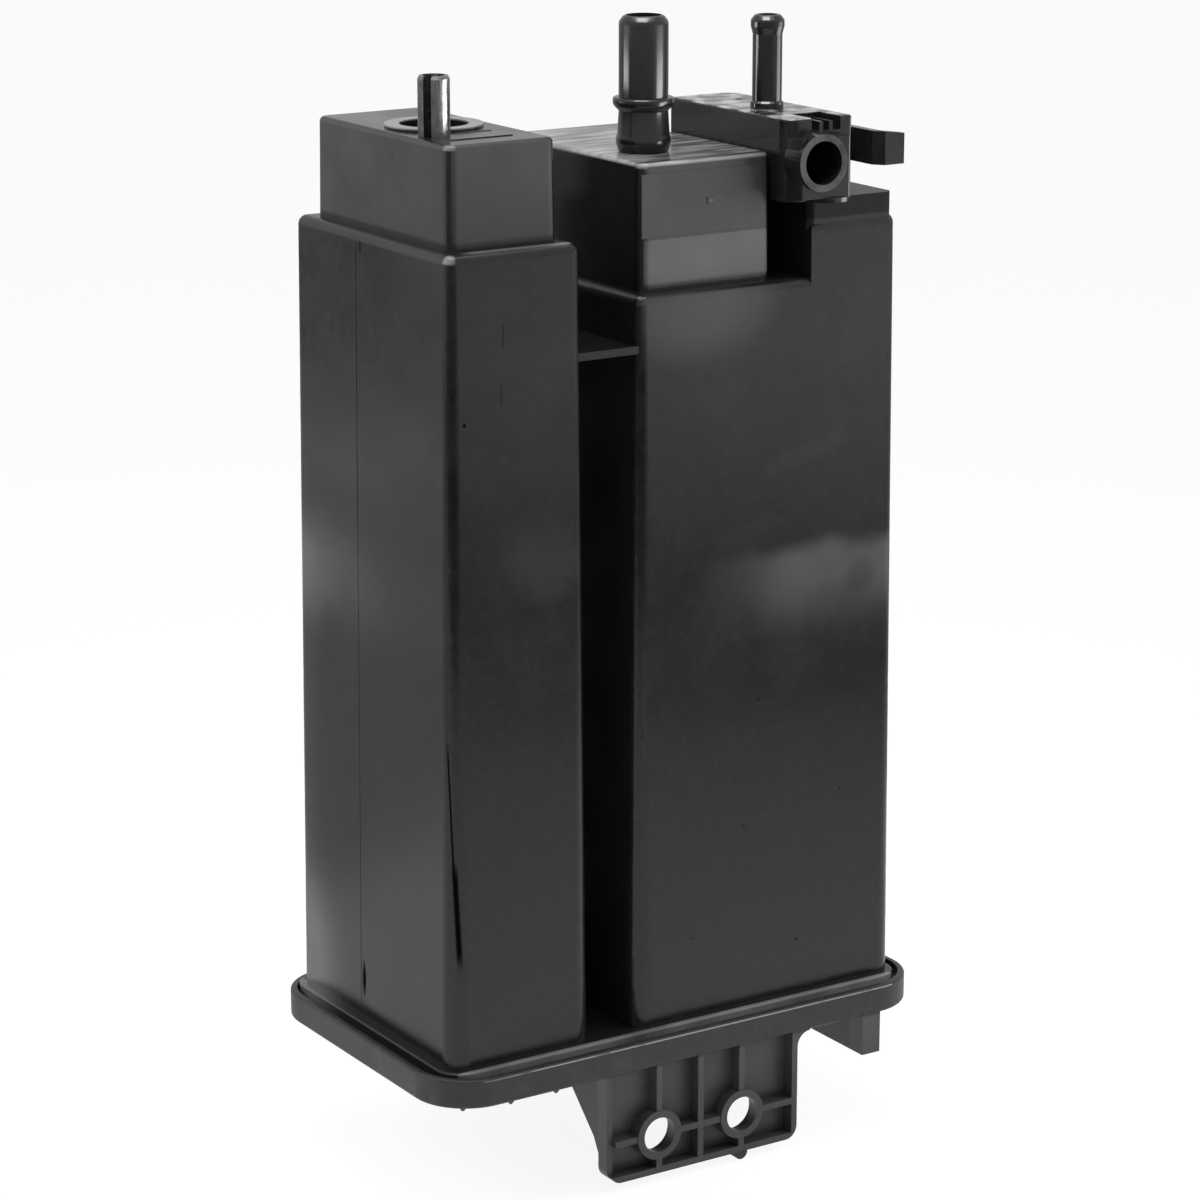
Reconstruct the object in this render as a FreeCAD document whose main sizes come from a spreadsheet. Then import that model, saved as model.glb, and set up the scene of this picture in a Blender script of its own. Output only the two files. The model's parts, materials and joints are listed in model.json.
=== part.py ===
"""Charcoal canister: a two-chamber moulded housing on a welded cover, with its ports and filling.

Millimetres, +Z up. The origin is midway between the two bracket holes, on their bosses' front faces.
Every sub-part is drawn in one body frame, whose own origin is the front left foot of the housing,
and its Placement carries that frame to the origin at the bracket holes.
"""
import FreeCAD, Part
import os
import Sketcher

doc = FreeCAD.newDocument("CharcoalCanister")
sizes = doc.addObject("Spreadsheet::Sheet", "Sizes")
# The driving dimensions, in millimetres where nothing else is said
SIZES = {
    # Housing
    "body_width": 174.1,  # width of the housing at its foot
    "body_depth": 102,  # depth of the housing at its foot
    "draft": 0.01,  # draft of every upright wall, mm in per mm of height
    "wall": 2.6,  # wall of the housing
    "foot_corner": 6.2,  # outer corner radius at the foot
    "corner_taper": 0.0115,  # how much the corner radius shrinks per mm of height
    "least_corner": 0.8,  # smallest corner radius inside a chamber
    "tower_width": 53,  # width of the left tower at its foot
    "tower_height": 261.6,  # height of the left tower's shoulder
    "chamber_left": 68.9,  # left wall of the right chamber at its foot
    "chamber_height": 242.6,  # height of the right chamber's shoulder
    "column_width": 36.6,  # width of the taller column, from the housing's right wall
    "column_rise": 17.7,  # column above the chamber's shoulder
    "shoulder_round": 3,  # round along the shoulders
    "edge_round": 1.6,  # round along the box tops
    "web_height": 224.4,  # underside of the web that ties the chambers
    "web_thickness": 2.5,  # thickness of that web
    "web_inset": 1.2,  # how far the web stays behind the front and rear walls
    # Boxes on the shoulders
    "vent_box_left_step": 4.2,  # step from the tower's left wall to the vent box
    "vent_box_right_step": 4,  # step from the tower's right wall to the vent box
    "vent_box_end_step": 6.8,  # step from the tower's front and rear walls to the vent box
    "vent_box_rise": 32.2,  # vent box's top face above the tower's shoulder
    "vent_box_corner": 3.5,  # corner radius of the vent box
    "tank_box_step": 4.7,  # step from the chamber's left wall to the tank box
    "tank_box_end_step": 6.4,  # step from the chamber's front and rear walls to the tank box
    "tank_box_end": 47.5,  # right wall of the tank box at its foot, from the housing's right wall
    "tank_box_rise": 40.3,  # tank box's top face above the chamber's shoulder
    "tank_box_corner": 3.6,  # corner radius of the tank box
    "plinth_width": 37.1,  # left wall of the low plinth, from the housing's right wall
    "plinth_step": 1.3,  # step from the column's right wall to the plinth
    "plinth_front": 3.4,  # front wall of the plinth
    "plinth_back": 72,  # rear wall of the plinth
    "plinth_rise": 7.2,  # plinth's top face above the column
    "plinth_corner": 2.5,  # corner radius of the plinth
    "vent_ring_dia": 31.2,  # outside of the raised ring round the vent
    "vent_hole_dia": 22,  # vent hole
    "vent_ring_height": 1,  # height of the raised ring
    "pin_boss_wall": 2.4,  # wall of the boss that holds the locating pin
    "pin_boss_depth": 16,  # depth of that boss below the top wall
    # Flange and bottom cover
    "flange_out": 2.5,  # overhang of the housing's weld flange
    "flange_thickness": 4,  # thickness of the weld flange
    "flange_round": 0.8,  # round along the weld flange's upper edge
    "cover_front": 8.8,  # overhang of the cover in front of the housing
    "cover_side": 8,  # overhang of the cover at each end
    "cover_rear": 6.2,  # overhang of the cover behind the housing
    "cover_corner": 19,  # corner radius of the cover
    "cover_depth": 10.4,  # underside of the cover below the housing's foot
    "cover_floor": 3,  # floor of the cover
    "cover_round": 1.2,  # round along the cover's lower edge
    "lip_drop": 0.7,  # top of the cover's lip below the housing's foot
    "lip_wall": 2.2,  # wall of the lip round the weld flange
    "lip_round": 0.9,  # round along the lip's upper edge
    "seat_ring_height": 3,  # height of the spring seats in the cover and the plates
    "seat_ring_clearance": 0.4,  # gap between a spring and its seat
    # Bracket and tab
    "bolt_spacing": 32.75,  # distance between the bracket holes
    "bolt_hole_dia": 12,  # bracket hole
    "bolt_drop": 34.35,  # bracket holes below the housing's foot
    "bracket_centre": 89.4,  # middle of the two bracket holes from the housing's left wall
    "bracket_left": 35.6,  # left end of the bracket from the middle of its holes
    "bracket_width": 74.6,  # width of the bracket
    "bracket_drop": 47.9,  # lower edge of the bracket below the housing's foot
    "bracket_back": 1.6,  # bracket's rear face in front of the housing's front wall
    "bracket_plate": 2.4,  # thickness of the bracket's plate
    "bracket_corner": 4.5,  # lower corner radius of the bracket
    "bracket_hollow": 5,  # hollow round where the bracket's right end meets the cover
    "border_height": 2.6,  # how far the border at the bracket's left end stands in front of its plate
    "bracket_rib": 2.2,  # thickness of the bracket's ribs
    "bolt_boss_wall": 2.5,  # wall round each bracket hole
    "bolt_boss_step": 0.3,  # how far the bosses stand in front of the ribs
    "bolt_lip": 3.7,  # thickness of the wall that each bracket hole goes through
    "bolt_recess_dia": 14.4,  # recess behind each bracket hole
    "bolt_mouth_dia": 16.8,  # mouth of that recess in the bracket's rear face
    "bolt_mouth_depth": 1.2,  # depth of that mouth
    "gusset_reach": 16.8,  # how far a gusset runs back under the cover
    "gusset_heel": 8.5,  # height of the gusset's rear end below the cover
    "gusset_bend_y": 1.2,  # the gusset's bend, behind the housing's front wall
    "gusset_bend": 13.9,  # height of the gusset's bend above the bracket's lower edge
    "gusset_foot": 7.4,  # height of the gusset's lower end above that edge
    "nub_dia": 5,  # small nub under the bracket
    "nub_drop": 2.7,  # how far the nub stands below the bracket
    "tab_end": 18.8,  # left face of the locating tab from the housing's right wall
    "tab_wall": 2.5,  # thickness of the locating tab
    "tab_face": 7.3,  # width of the tab's front face
    "tab_drop": 24.3,  # lower edge of the tab below the housing's foot
    "tab_length": 46,  # length of the tab, front to rear
    # Tank port
    "tank_port_place": 24.4,  # tank port from the chamber's left wall
    "tank_port_y": 33.4,  # tank port from the housing's front wall
    "tank_port_dia": 15.82,  # sealing diameter of the quick-connect port
    "tank_port_bore": 11.4,  # bore of the tank port
    "tank_port_length": 43.1,  # length of the port above the tank box
    "tank_port_tip": 2,  # height of the lead-in at the tip
    "tank_port_lead": 1.6,  # how far the lead-in tapers in
    "port_round": 0.8,  # round along the bead, the collar and the tip
    "bead_dia": 19.6,  # retaining bead
    "bead_rise": 17.3,  # top of the retaining bead above the tank box
    "bead_width": 2.4,  # width of the retaining bead
    "collar_dia": 17.6,  # collar at the port's foot
    "collar_height": 5.6,  # height of the collar
    "collar_flare": 2.6,  # height over which the collar widens from the port's foot
    "neck_dia": 16.7,  # port just above the collar
    "spigot_dia": 14.2,  # spigot that centres the port in the box
    # Valve duct and purge port
    "duct_start": 47.4,  # left wall of the duct from the housing's right wall
    "duct_end": 22.5,  # right wall of the duct from the housing's right wall
    "duct_front": 0.8,  # front wall of the duct
    "duct_back": 68.3,  # rear wall of the duct
    "duct_rise": 26.4,  # duct's top face above the plinth
    "duct_wall": 2.4,  # wall of the duct
    "duct_round": 1,  # upright corner radius of the duct
    "duct_front_round": 5,  # corner radius at the duct's front left corner
    "duct_rear_round": 6,  # corner radius at the duct's rear right corner
    "socket_front": -5.8,  # front face of the socket
    "socket_place": 38.2,  # socket axis from the housing's right wall
    "socket_rise": 12.9,  # socket axis above the plinth
    "socket_dia": 18.4,  # outside of the socket
    "socket_bore": 14,  # bore of the socket
    "socket_depth": 19,  # depth of the socket
    "socket_block_start": 46.4,  # left face of the socket block from the housing's right wall
    "socket_block_end": 26.7,  # right face of the socket block from the housing's right wall
    "socket_block_round": 1,  # round of the socket block's front corners
    "socket_block_rise": 20.7,  # socket block's top face above the plinth
    "socket_lip": 1.2,  # how far the socket stands out of its block
    "foot_dia": 15,  # round foot under the socket
    "foot_place": 32.5,  # middle of that foot from the housing's right wall
    "foot_y": 1,  # middle of that foot from the housing's front wall
    "foot_height": 1.4,  # thickness of that foot
    "notch_start": 38.5,  # left side of the latch notch from the housing's right wall
    "notch_end": 27.2,  # right side of the latch notch from the housing's right wall
    "notch_back": 12.6,  # rear side of the latch notch
    "notch_depth": 4.3,  # depth of the latch notch below the duct's top
    "notch_rib": 1.4,  # thickness of the ribs in the notch
    "notch_rib_height": 3,  # height of those ribs above the notch's floor
    "purge_port_place": 36.5,  # purge port from the housing's right wall
    "purge_port_y": 28.4,  # purge port from the housing's front wall
    "purge_port_dia": 9.6,  # purge port hose nipple
    "purge_port_bore": 6.2,  # bore of the purge port
    "purge_port_length": 30.1,  # length of the purge port above the duct
    "barb_dia": 10.9,  # swollen tip of the purge port
    "barb_length": 6.2,  # length of the swollen tip
    "barb_shoulder": 3.8,  # where the tip is widest, below the port's end
    "barb_nose": 1.7,  # length of the tip's nose
    "barb_round": 1.2,  # rounds along the tip
    "purge_foot_dia": 10.8,  # foot of the purge port
    "purge_foot_height": 2.6,  # height of that foot
    "arm_place": 14.8,  # left face of the clip arm from the housing's right wall
    "arm_wall": 2.8,  # thickness of the clip arm
    "arm_back": 15.5,  # rear face of the arm's root
    "arm_rise": 9.8,  # underside of the clip arm above the plinth
    "arm_height": 10.9,  # height of the clip arm
    "arm_bend_place": 12.1,  # where the arm turns along the front, from the housing's right wall
    "arm_tip_place": 4.5,  # tip of the clip arm from the housing's right wall
    "arm_tip_y": -3,  # front of the clip arm's tip, from the housing's front wall
    "arm_tip_drop": 1.4,  # how far the tip's upper edge falls towards its end
    "arm_front": 0.4,  # where the arm turns out to its tip
    # Locating pin
    "pin_x": 15.6,  # locating pin from the housing's left wall
    "pin_y": 32,  # locating pin from the housing's front wall
    "pin_dia": 10,  # outside of the rolled pin
    "pin_seat_dia": 9.6,  # outside of the pin where its boss holds it
    "pin_wall": 1.5,  # wall of the rolled pin
    "pin_slot": 2.6,  # gap along the rolled pin
    "pin_height": 18.6,  # pin above the vent box
    "pin_seat": 13,  # pin inside its boss
    "pin_chamfer": 1,  # chamfer at the pin's upper end
    "pin_turn": 215,  # direction that the gap faces, degrees from +X
    # Filling
    "fit_gap": 0.3,  # gap between the filling and the walls
    "top_pad": 6,  # thickness of the upper filter pads
    "low_pad": 5,  # thickness of the lower filter pads
    "plate": 3.6,  # thickness of the retainer plates
    "plate_height": 29,  # underside of the retainer plates
    "plate_hole_dia": 9,  # holes through the retainer plates
    "plate_hole_pitch": 17,  # spacing of those holes
    "hole_rows": 5,  # rows of holes from front to rear, a number
    "tower_hole_columns": 2,  # columns of holes in the tower's plate, a number
    "chamber_hole_columns": 5,  # columns of holes in the chamber's plate, a number
    "divider_low": 168,  # lower edge of the divider between tank side and purge side
    "spring_dia": 26,  # outside of the springs
    "spring_wire": 2.2,  # spring wire
    "spring_turns": 4,  # turns of each spring, a number
    "tower_spring_pitch": 48,  # distance between the tower's two springs
    "chamber_spring_pitch": 50,  # distance between the chamber's springs, each way
}
# Places and heights that follow from the driving dimensions
PLACES = {
    "column_left": "body_width - column_width",
    "column_height": "chamber_height + column_rise",
    "vent_box_top": "tower_height + vent_box_rise",
    "tank_box_right": "body_width - tank_box_end",
    "tank_box_top": "chamber_height + tank_box_rise",
    "plinth_left": "body_width - plinth_width",
    "plinth_top": "column_height + plinth_rise",
    "tab_left": "body_width - tab_end",
    "tank_port_x": "chamber_left + tank_port_place",
    "tank_port_top": "tank_box_top + tank_port_length",
    "bead_height": "tank_box_top + bead_rise",
    "duct_left": "body_width - duct_start",
    "duct_right": "body_width - duct_end",
    "duct_top": "plinth_top + duct_rise",
    "socket_x": "body_width - socket_place",
    "socket_z": "plinth_top + socket_rise",
    "socket_block_left": "body_width - socket_block_start",
    "socket_block_right": "body_width - socket_block_end",
    "socket_block_top": "plinth_top + socket_block_rise",
    "notch_left": "body_width - notch_start",
    "notch_right": "body_width - notch_end",
    "notch_floor": "duct_top - notch_depth",
    "purge_port_x": "body_width - purge_port_place",
    "purge_port_top": "duct_top + purge_port_length",
    "arm_out": "body_width - arm_place",
    "arm_low": "plinth_top + arm_rise",
    "arm_high": "plinth_top + arm_rise + arm_height",
    "arm_bend_x": "body_width - arm_bend_place",
    "arm_tip_x": "body_width - arm_tip_place",
    "boss_front": "cover_front + bolt_boss_step",
}
cells = dict(SIZES)
cells.update({name: f"={rule}" for name, rule in PLACES.items()})
for row, (name, value) in enumerate(cells.items(), 1):
    sizes.set(f"A{row}", name.replace("_", " "))
    sizes.setAlias(f"B{row}", name)
for row, value in enumerate(cells.values(), 1):
    sizes.set(f"B{row}", str(value))
doc.recompute()


def number(expression):
    """The value of an expression on the sheet."""
    return float(sizes.evalExpression(expression.replace("Sizes.", "")))


# The body frame against the bracket holes
FRAME = {
    "Placement.Base.x": "-Sizes.bracket_centre",
    "Placement.Base.y": "Sizes.boss_front",
    "Placement.Base.z": "Sizes.bolt_drop",
}


def bind(target, links):
    """Tie properties of an object to expressions on the sheet."""
    for place, expression in links.items():
        target.setExpression(place, expression)


def new_body(name):
    """A body with its own label, standing in the body frame."""
    body = doc.addObject("PartDesign::Body", name)
    body.Label = name
    bind(body, FRAME)
    return body


def origin_plane(body, role):
    """One of the body's own origin planes."""
    return next(plane for plane in body.Origin.OriginFeatures if plane.Role == role)


def sketch_on(body, name, role, x="0", y="0", z="0"):
    """A sketch on an origin plane, moved along the plane's own axes."""
    sketch = body.newObject("Sketcher::SketchObject", name)
    sketch.AttachmentSupport = [(origin_plane(body, role), "")]
    sketch.MapMode = "FlatFace"
    bind(sketch, {
        "AttachmentOffset.Base.x": x,
        "AttachmentOffset.Base.y": y,
        "AttachmentOffset.Base.z": z,
    })
    return sketch


def name_datum(sketch, name, expression, *constraint):
    """Add a measured constraint, name it and tie it to the sheet."""
    index = sketch.addConstraint(Sketcher.Constraint(*constraint, number(expression)))
    sketch.renameConstraint(index, name)
    sketch.setExpression(f"Constraints.{name}", expression)


def point(x, y):
    """A point of a sketch."""
    return FreeCAD.Vector(x, y, 0)


def draw_rectangle(sketch, wide, deep):
    """A plain rectangle from the sketch's origin."""
    w, d = number(wide), number(deep)
    corners = [point(0, 0), point(w, 0), point(w, d), point(0, d)]
    for index in range(4):
        sketch.addGeometry(Part.LineSegment(corners[index], corners[(index + 1) % 4]), False)
    for index in range(4):
        sketch.addConstraint(Sketcher.Constraint("Coincident", index, 2, (index + 1) % 4, 1))
    for index in (0, 2):
        sketch.addConstraint(Sketcher.Constraint("Horizontal", index))
    for index in (1, 3):
        sketch.addConstraint(Sketcher.Constraint("Vertical", index))
    sketch.addConstraint(Sketcher.Constraint("Coincident", 0, 1, -1, 1))
    name_datum(sketch, "wide", wide, "DistanceX", 0, 1, 0, 2)
    name_datum(sketch, "deep", deep, "DistanceY", 1, 1, 1, 2)


def draw_rounded_rectangle(sketch, wide, deep, corner):
    """A rectangle with round corners, its lower left corner at the sketch's origin."""
    w, d, r = number(wide), number(deep), number(corner)
    sides = [
        (point(r, 0), point(w - r, 0)),
        (point(w, r), point(w, d - r)),
        (point(w - r, d), point(r, d)),
        (point(0, d - r), point(0, r)),
    ]
    middles = [point(w - r, r), point(w - r, d - r), point(r, d - r), point(r, r)]
    quarter = FreeCAD.Units.Quantity("90 deg").getValueAs("rad").Value
    for start, end in sides:
        sketch.addGeometry(Part.LineSegment(start, end), False)
    for index, middle in enumerate(middles):
        circle = Part.Circle(middle, FreeCAD.Vector(0, 0, 1), r)
        sketch.addGeometry(Part.ArcOfCircle(circle, (index - 1) * quarter, index * quarter), False)
    for index in range(4):
        sketch.addConstraint(Sketcher.Constraint("Tangent", index, 2, index + 4, 1))
        sketch.addConstraint(Sketcher.Constraint("Tangent", index + 4, 2, (index + 1) % 4, 1))
    for index in (5, 6, 7):
        sketch.addConstraint(Sketcher.Constraint("Equal", 4, index))
    sketch.addConstraint(Sketcher.Constraint("Horizontal", 0))
    sketch.addConstraint(Sketcher.Constraint("Vertical", 1))
    sketch.addConstraint(Sketcher.Constraint("Horizontal", 2))
    sketch.addConstraint(Sketcher.Constraint("Vertical", 3))
    sketch.addConstraint(Sketcher.Constraint("PointOnObject", 0, 1, -1))
    sketch.addConstraint(Sketcher.Constraint("PointOnObject", 3, 1, -2))
    name_datum(sketch, "wide", wide, "DistanceX", -1, 1, 1, 1)
    name_datum(sketch, "deep", deep, "DistanceY", -1, 1, 2, 1)
    name_datum(sketch, "corner", corner, "Radius", 4)


def draw_circle(sketch, diameter, x="0", y="0"):
    """A circle in a sketch, placed by measured distances from the sketch's origin."""
    count = sketch.GeometryCount
    centre = point(number(x), number(y))
    circle = Part.Circle(centre, FreeCAD.Vector(0, 0, 1), number(diameter) / 2)
    index = sketch.addGeometry(circle, False)
    name_datum(sketch, f"diameter{count}", diameter, "Diameter", index)
    for axis, place in (("X", x), ("Y", y)):
        if place == "0":
            side = -2 if axis == "X" else -1
            sketch.addConstraint(Sketcher.Constraint("PointOnObject", index, 3, side))
        else:
            name_datum(sketch, f"place{axis}{count}", place, f"Distance{axis}", -1, 1, index, 3)


def draw_outline(sketch, corners):
    """A closed outline of straight sides; each corner is a pair of expressions."""
    spots = [point(number(x), number(y)) for x, y in corners]
    count = len(spots)
    for index in range(count):
        sketch.addGeometry(Part.LineSegment(spots[index], spots[(index + 1) % count]), False)
    for index in range(count):
        sketch.addConstraint(Sketcher.Constraint("Coincident", index, 2, (index + 1) % count, 1))
    for index, (x, y) in enumerate(corners):
        name_datum(sketch, f"x{index}", x, "DistanceX", -1, 1, index, 1)
        name_datum(sketch, f"y{index}", y, "DistanceY", -1, 1, index, 1)


def pad(sketch, length, taken_away=False, flipped=False):
    """Extrude a sketch into solid, or cut it away."""
    body = sketch.getParentGeoFeatureGroup()
    kind = "PartDesign::Pocket" if taken_away else "PartDesign::Pad"
    feature = body.newObject(kind, f"{sketch.Name}{'Cut' if taken_away else 'Pad'}")
    feature.Profile = sketch
    feature.Reversed = flipped
    feature.setExpression("Length", length)
    sketch.Visibility = False
    return feature


def revolve(sketch, taken_away=False):
    """Turn a half section about the sketch's upright axis."""
    body = sketch.getParentGeoFeatureGroup()
    kind = "PartDesign::Groove" if taken_away else "PartDesign::Revolution"
    feature = body.newObject(kind, f"{sketch.Name}{'Groove' if taken_away else 'Turn'}")
    feature.Profile = sketch
    feature.ReferenceAxis = (sketch, ["V_Axis"])
    feature.Angle = 360
    return feature


def tapered(body, name, low, high, outline, taken_away=False):
    """A block between two heights whose rounded outline narrows with its draft."""
    levels = []
    for level, height in (("Foot", low), ("Head", high)):
        edge = outline(height)
        sketch = sketch_on(body, f"{name}{level}", "XY_Plane", edge["x"], edge["y"], height)
        draw_rounded_rectangle(sketch, edge["wide"], edge["deep"], edge["corner"])
        levels.append(sketch)
    kind = "PartDesign::SubtractiveLoft" if taken_away else "PartDesign::AdditiveLoft"
    loft = body.newObject(kind, f"{name}{'Hollow' if taken_away else 'Block'}")
    loft.Profile = levels[0]
    loft.Sections = [levels[1]]
    loft.Ruled = True
    return loft


def round_edges(body, name, radius, chosen):
    """Round the edges of the body's last feature that the test picks out."""
    doc.recompute()
    base = body.Tip
    names = [f"Edge{index}" for index, edge in enumerate(base.Shape.Edges, 1) if chosen(edge)]
    fillet = body.newObject("PartDesign::Fillet", name)
    fillet.Base = (base, names)
    fillet.setExpression("Radius", radius)
    return fillet


def at_height(edge, height, slack=0.05):
    """Whether an edge lies level at a height of the body frame."""
    box = edge.BoundBox
    return abs(box.ZMin - height) < slack and abs(box.ZMax - height) < slack


def ring_edge(edge, diameter, height):
    """Whether an edge is a level circle of one diameter at one height."""
    across = 2 * getattr(edge.Curve, "Radius", 0)
    return at_height(edge, number(height)) and abs(across - number(diameter)) < 0.05


# Outlines of the drafted blocks, each a function of the height and of how far inside the wall
def shrunk(left, wide, front, deep, corner, inset):
    """An outline moved inwards on every side, with its corners kept concentric."""
    return {
        "x": f"{left} + {inset}",
        "y": f"{front} + {inset}",
        "wide": f"{wide} - 2 * ({inset})",
        "deep": f"{deep} - 2 * ({inset})",
        "corner": f"max({corner} - ({inset}); Sizes.least_corner)",
    }


def corner_at(height):
    return f"Sizes.foot_corner - Sizes.corner_taper * ({height})"


def tower(inset):
    """The left tower."""
    def outline(height):
        lean = f"Sizes.draft * ({height})"
        return shrunk(lean, f"Sizes.tower_width - 2 * {lean}", lean,
                      f"Sizes.body_depth - 2 * {lean}", corner_at(height), inset)
    return outline


def chamber(inset):
    """The right chamber, and the column that carries on above its shoulder."""
    def outline(height):
        lean = f"Sizes.draft * ({height})"
        return shrunk(f"Sizes.chamber_left + {lean}",
                      f"Sizes.body_width - Sizes.chamber_left - 2 * {lean}", lean,
                      f"Sizes.body_depth - 2 * {lean}", corner_at(height), inset)
    return outline


def vent_box(inset):
    """The box on the tower's shoulder."""
    def outline(height):
        lean = f"Sizes.draft * ({height})"
        left = f"Sizes.vent_box_left_step + {lean}"
        right = f"Sizes.tower_width - Sizes.vent_box_right_step - {lean}"
        front = f"Sizes.vent_box_end_step + {lean}"
        return shrunk(left, f"{right} - ({left})", front,
                      f"Sizes.body_depth - 2 * ({front})", "Sizes.vent_box_corner", inset)
    return outline


def tank_box(inset):
    """The box on the chamber's shoulder."""
    def outline(height):
        lean = f"Sizes.draft * ({height})"
        above = f"Sizes.draft * ({height} - Sizes.chamber_height)"
        left = f"Sizes.chamber_left + Sizes.tank_box_step + {lean}"
        front = f"Sizes.tank_box_end_step + {lean}"
        return shrunk(left, f"Sizes.tank_box_right - ({above}) - ({left})", front,
                      f"Sizes.body_depth - 2 * ({front})", "Sizes.tank_box_corner", inset)
    return outline


def foot_outline(out):
    """An outline that stands out past the housing's foot by the same amount all round."""
    return {
        "x": f"-({out})",
        "y": f"-({out})",
        "wide": f"Sizes.body_width + 2 * ({out})",
        "deep": f"Sizes.body_depth + 2 * ({out})",
        "corner": f"Sizes.foot_corner + {out}",
    }


def cover_outline(inset):
    """The cover's outline, moved inwards."""
    return {
        "x": f"{inset} - Sizes.cover_side",
        "y": f"{inset} - Sizes.cover_front",
        "wide": f"Sizes.body_width + 2 * Sizes.cover_side - 2 * {inset}",
        "deep": f"Sizes.body_depth + Sizes.cover_front + Sizes.cover_rear - 2 * {inset}",
        "corner": f"Sizes.cover_corner - {inset}",
    }


def level_slab(body, name, height, edge, length, taken_away=False, flipped=False):
    """A slab or pocket with a rounded outline, from one height."""
    sketch = sketch_on(body, name, "XY_Plane", edge["x"], edge["y"], height)
    draw_rounded_rectangle(sketch, edge["wide"], edge["deep"], edge["corner"])
    return pad(sketch, length, taken_away, flipped)


def column_ceiling():
    return "Sizes.column_height - Sizes.wall"


def make_housing():
    """Tower, chamber, boxes, column, plinth, web and weld flange in one moulding."""
    body = new_body("housing")
    level_slab(body, "Flange", "0", foot_outline("Sizes.flange_out"), "Sizes.flange_thickness", flipped=True)
    round_edges(body, "FlangeRound", "Sizes.flange_round", lambda edge: at_height(edge, 0))
    tapered(body, "Tower", "0", "Sizes.tower_height", tower("0"))
    tapered(body, "Chamber", "0", "Sizes.column_height", chamber("0"))

    # The chamber stops at its shoulder; only the column goes on up
    step = sketch_on(body, "Step", "XY_Plane", "Sizes.chamber_left - Sizes.wall",
                     "-Sizes.cover_front", "Sizes.column_height + Sizes.wall")
    draw_rectangle(step, "Sizes.column_left - Sizes.chamber_left + Sizes.wall",
                   "Sizes.body_depth + 2 * Sizes.cover_front")
    pad(step, "Sizes.column_height - Sizes.chamber_height + Sizes.wall", taken_away=True)
    shoulders = [number("Sizes.tower_height"), number("Sizes.chamber_height"),
                 number("Sizes.column_height")]
    step_x = number("Sizes.column_left")

    def on_shoulder(edge):
        if not any(at_height(edge, height) for height in shoulders):
            return False
        inner_step = abs(edge.BoundBox.XMin - step_x) < 0.05 and abs(edge.BoundBox.XMax - step_x) < 0.05
        return not (inner_step and at_height(edge, shoulders[1]))

    round_edges(body, "ShoulderRound", "Sizes.shoulder_round", on_shoulder)

    tapered(body, "VentBox", "Sizes.tower_height - Sizes.wall", "Sizes.vent_box_top", vent_box("0"))
    tapered(body, "TankBox", "Sizes.chamber_height - Sizes.wall", "Sizes.tank_box_top", tank_box("0"))
    plinth = sketch_on(body, "Plinth", "XY_Plane", "Sizes.plinth_left", "Sizes.plinth_front",
                       "Sizes.column_height - Sizes.wall")
    draw_rounded_rectangle(
        plinth,
        "Sizes.body_width - Sizes.draft * Sizes.column_height - Sizes.plinth_step - Sizes.plinth_left",
        "Sizes.plinth_back - Sizes.plinth_front", "Sizes.plinth_corner")
    pad(plinth, "Sizes.plinth_top - Sizes.column_height + Sizes.wall")
    tops = [number("Sizes.vent_box_top"), number("Sizes.tank_box_top")]
    round_edges(body, "TopRound", "Sizes.edge_round",
                lambda edge: any(at_height(edge, height) for height in tops))

    ring = sketch_on(body, "VentRing", "XY_Plane", vent_x(), vent_y(), "Sizes.vent_box_top")
    draw_circle(ring, "Sizes.vent_ring_dia")
    pad(ring, "Sizes.vent_ring_height")
    web = sketch_on(body, "Web", "XY_Plane",
                    "Sizes.tower_width - Sizes.wall - Sizes.draft * Sizes.web_height",
                    "Sizes.draft * Sizes.web_height + Sizes.web_inset", "Sizes.web_height")
    draw_rectangle(
        web, "Sizes.chamber_left - Sizes.tower_width + 2 * Sizes.wall + 2 * Sizes.draft * Sizes.web_height",
        "Sizes.body_depth - 2 * (Sizes.draft * Sizes.web_height + Sizes.web_inset)")
    pad(web, "Sizes.web_thickness")

    hollow_housing(body)
    return body


def vent_x():
    return "(Sizes.tower_width + Sizes.vent_box_left_step - Sizes.vent_box_right_step) / 2"


def vent_y():
    return "Sizes.body_depth / 2"


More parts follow.
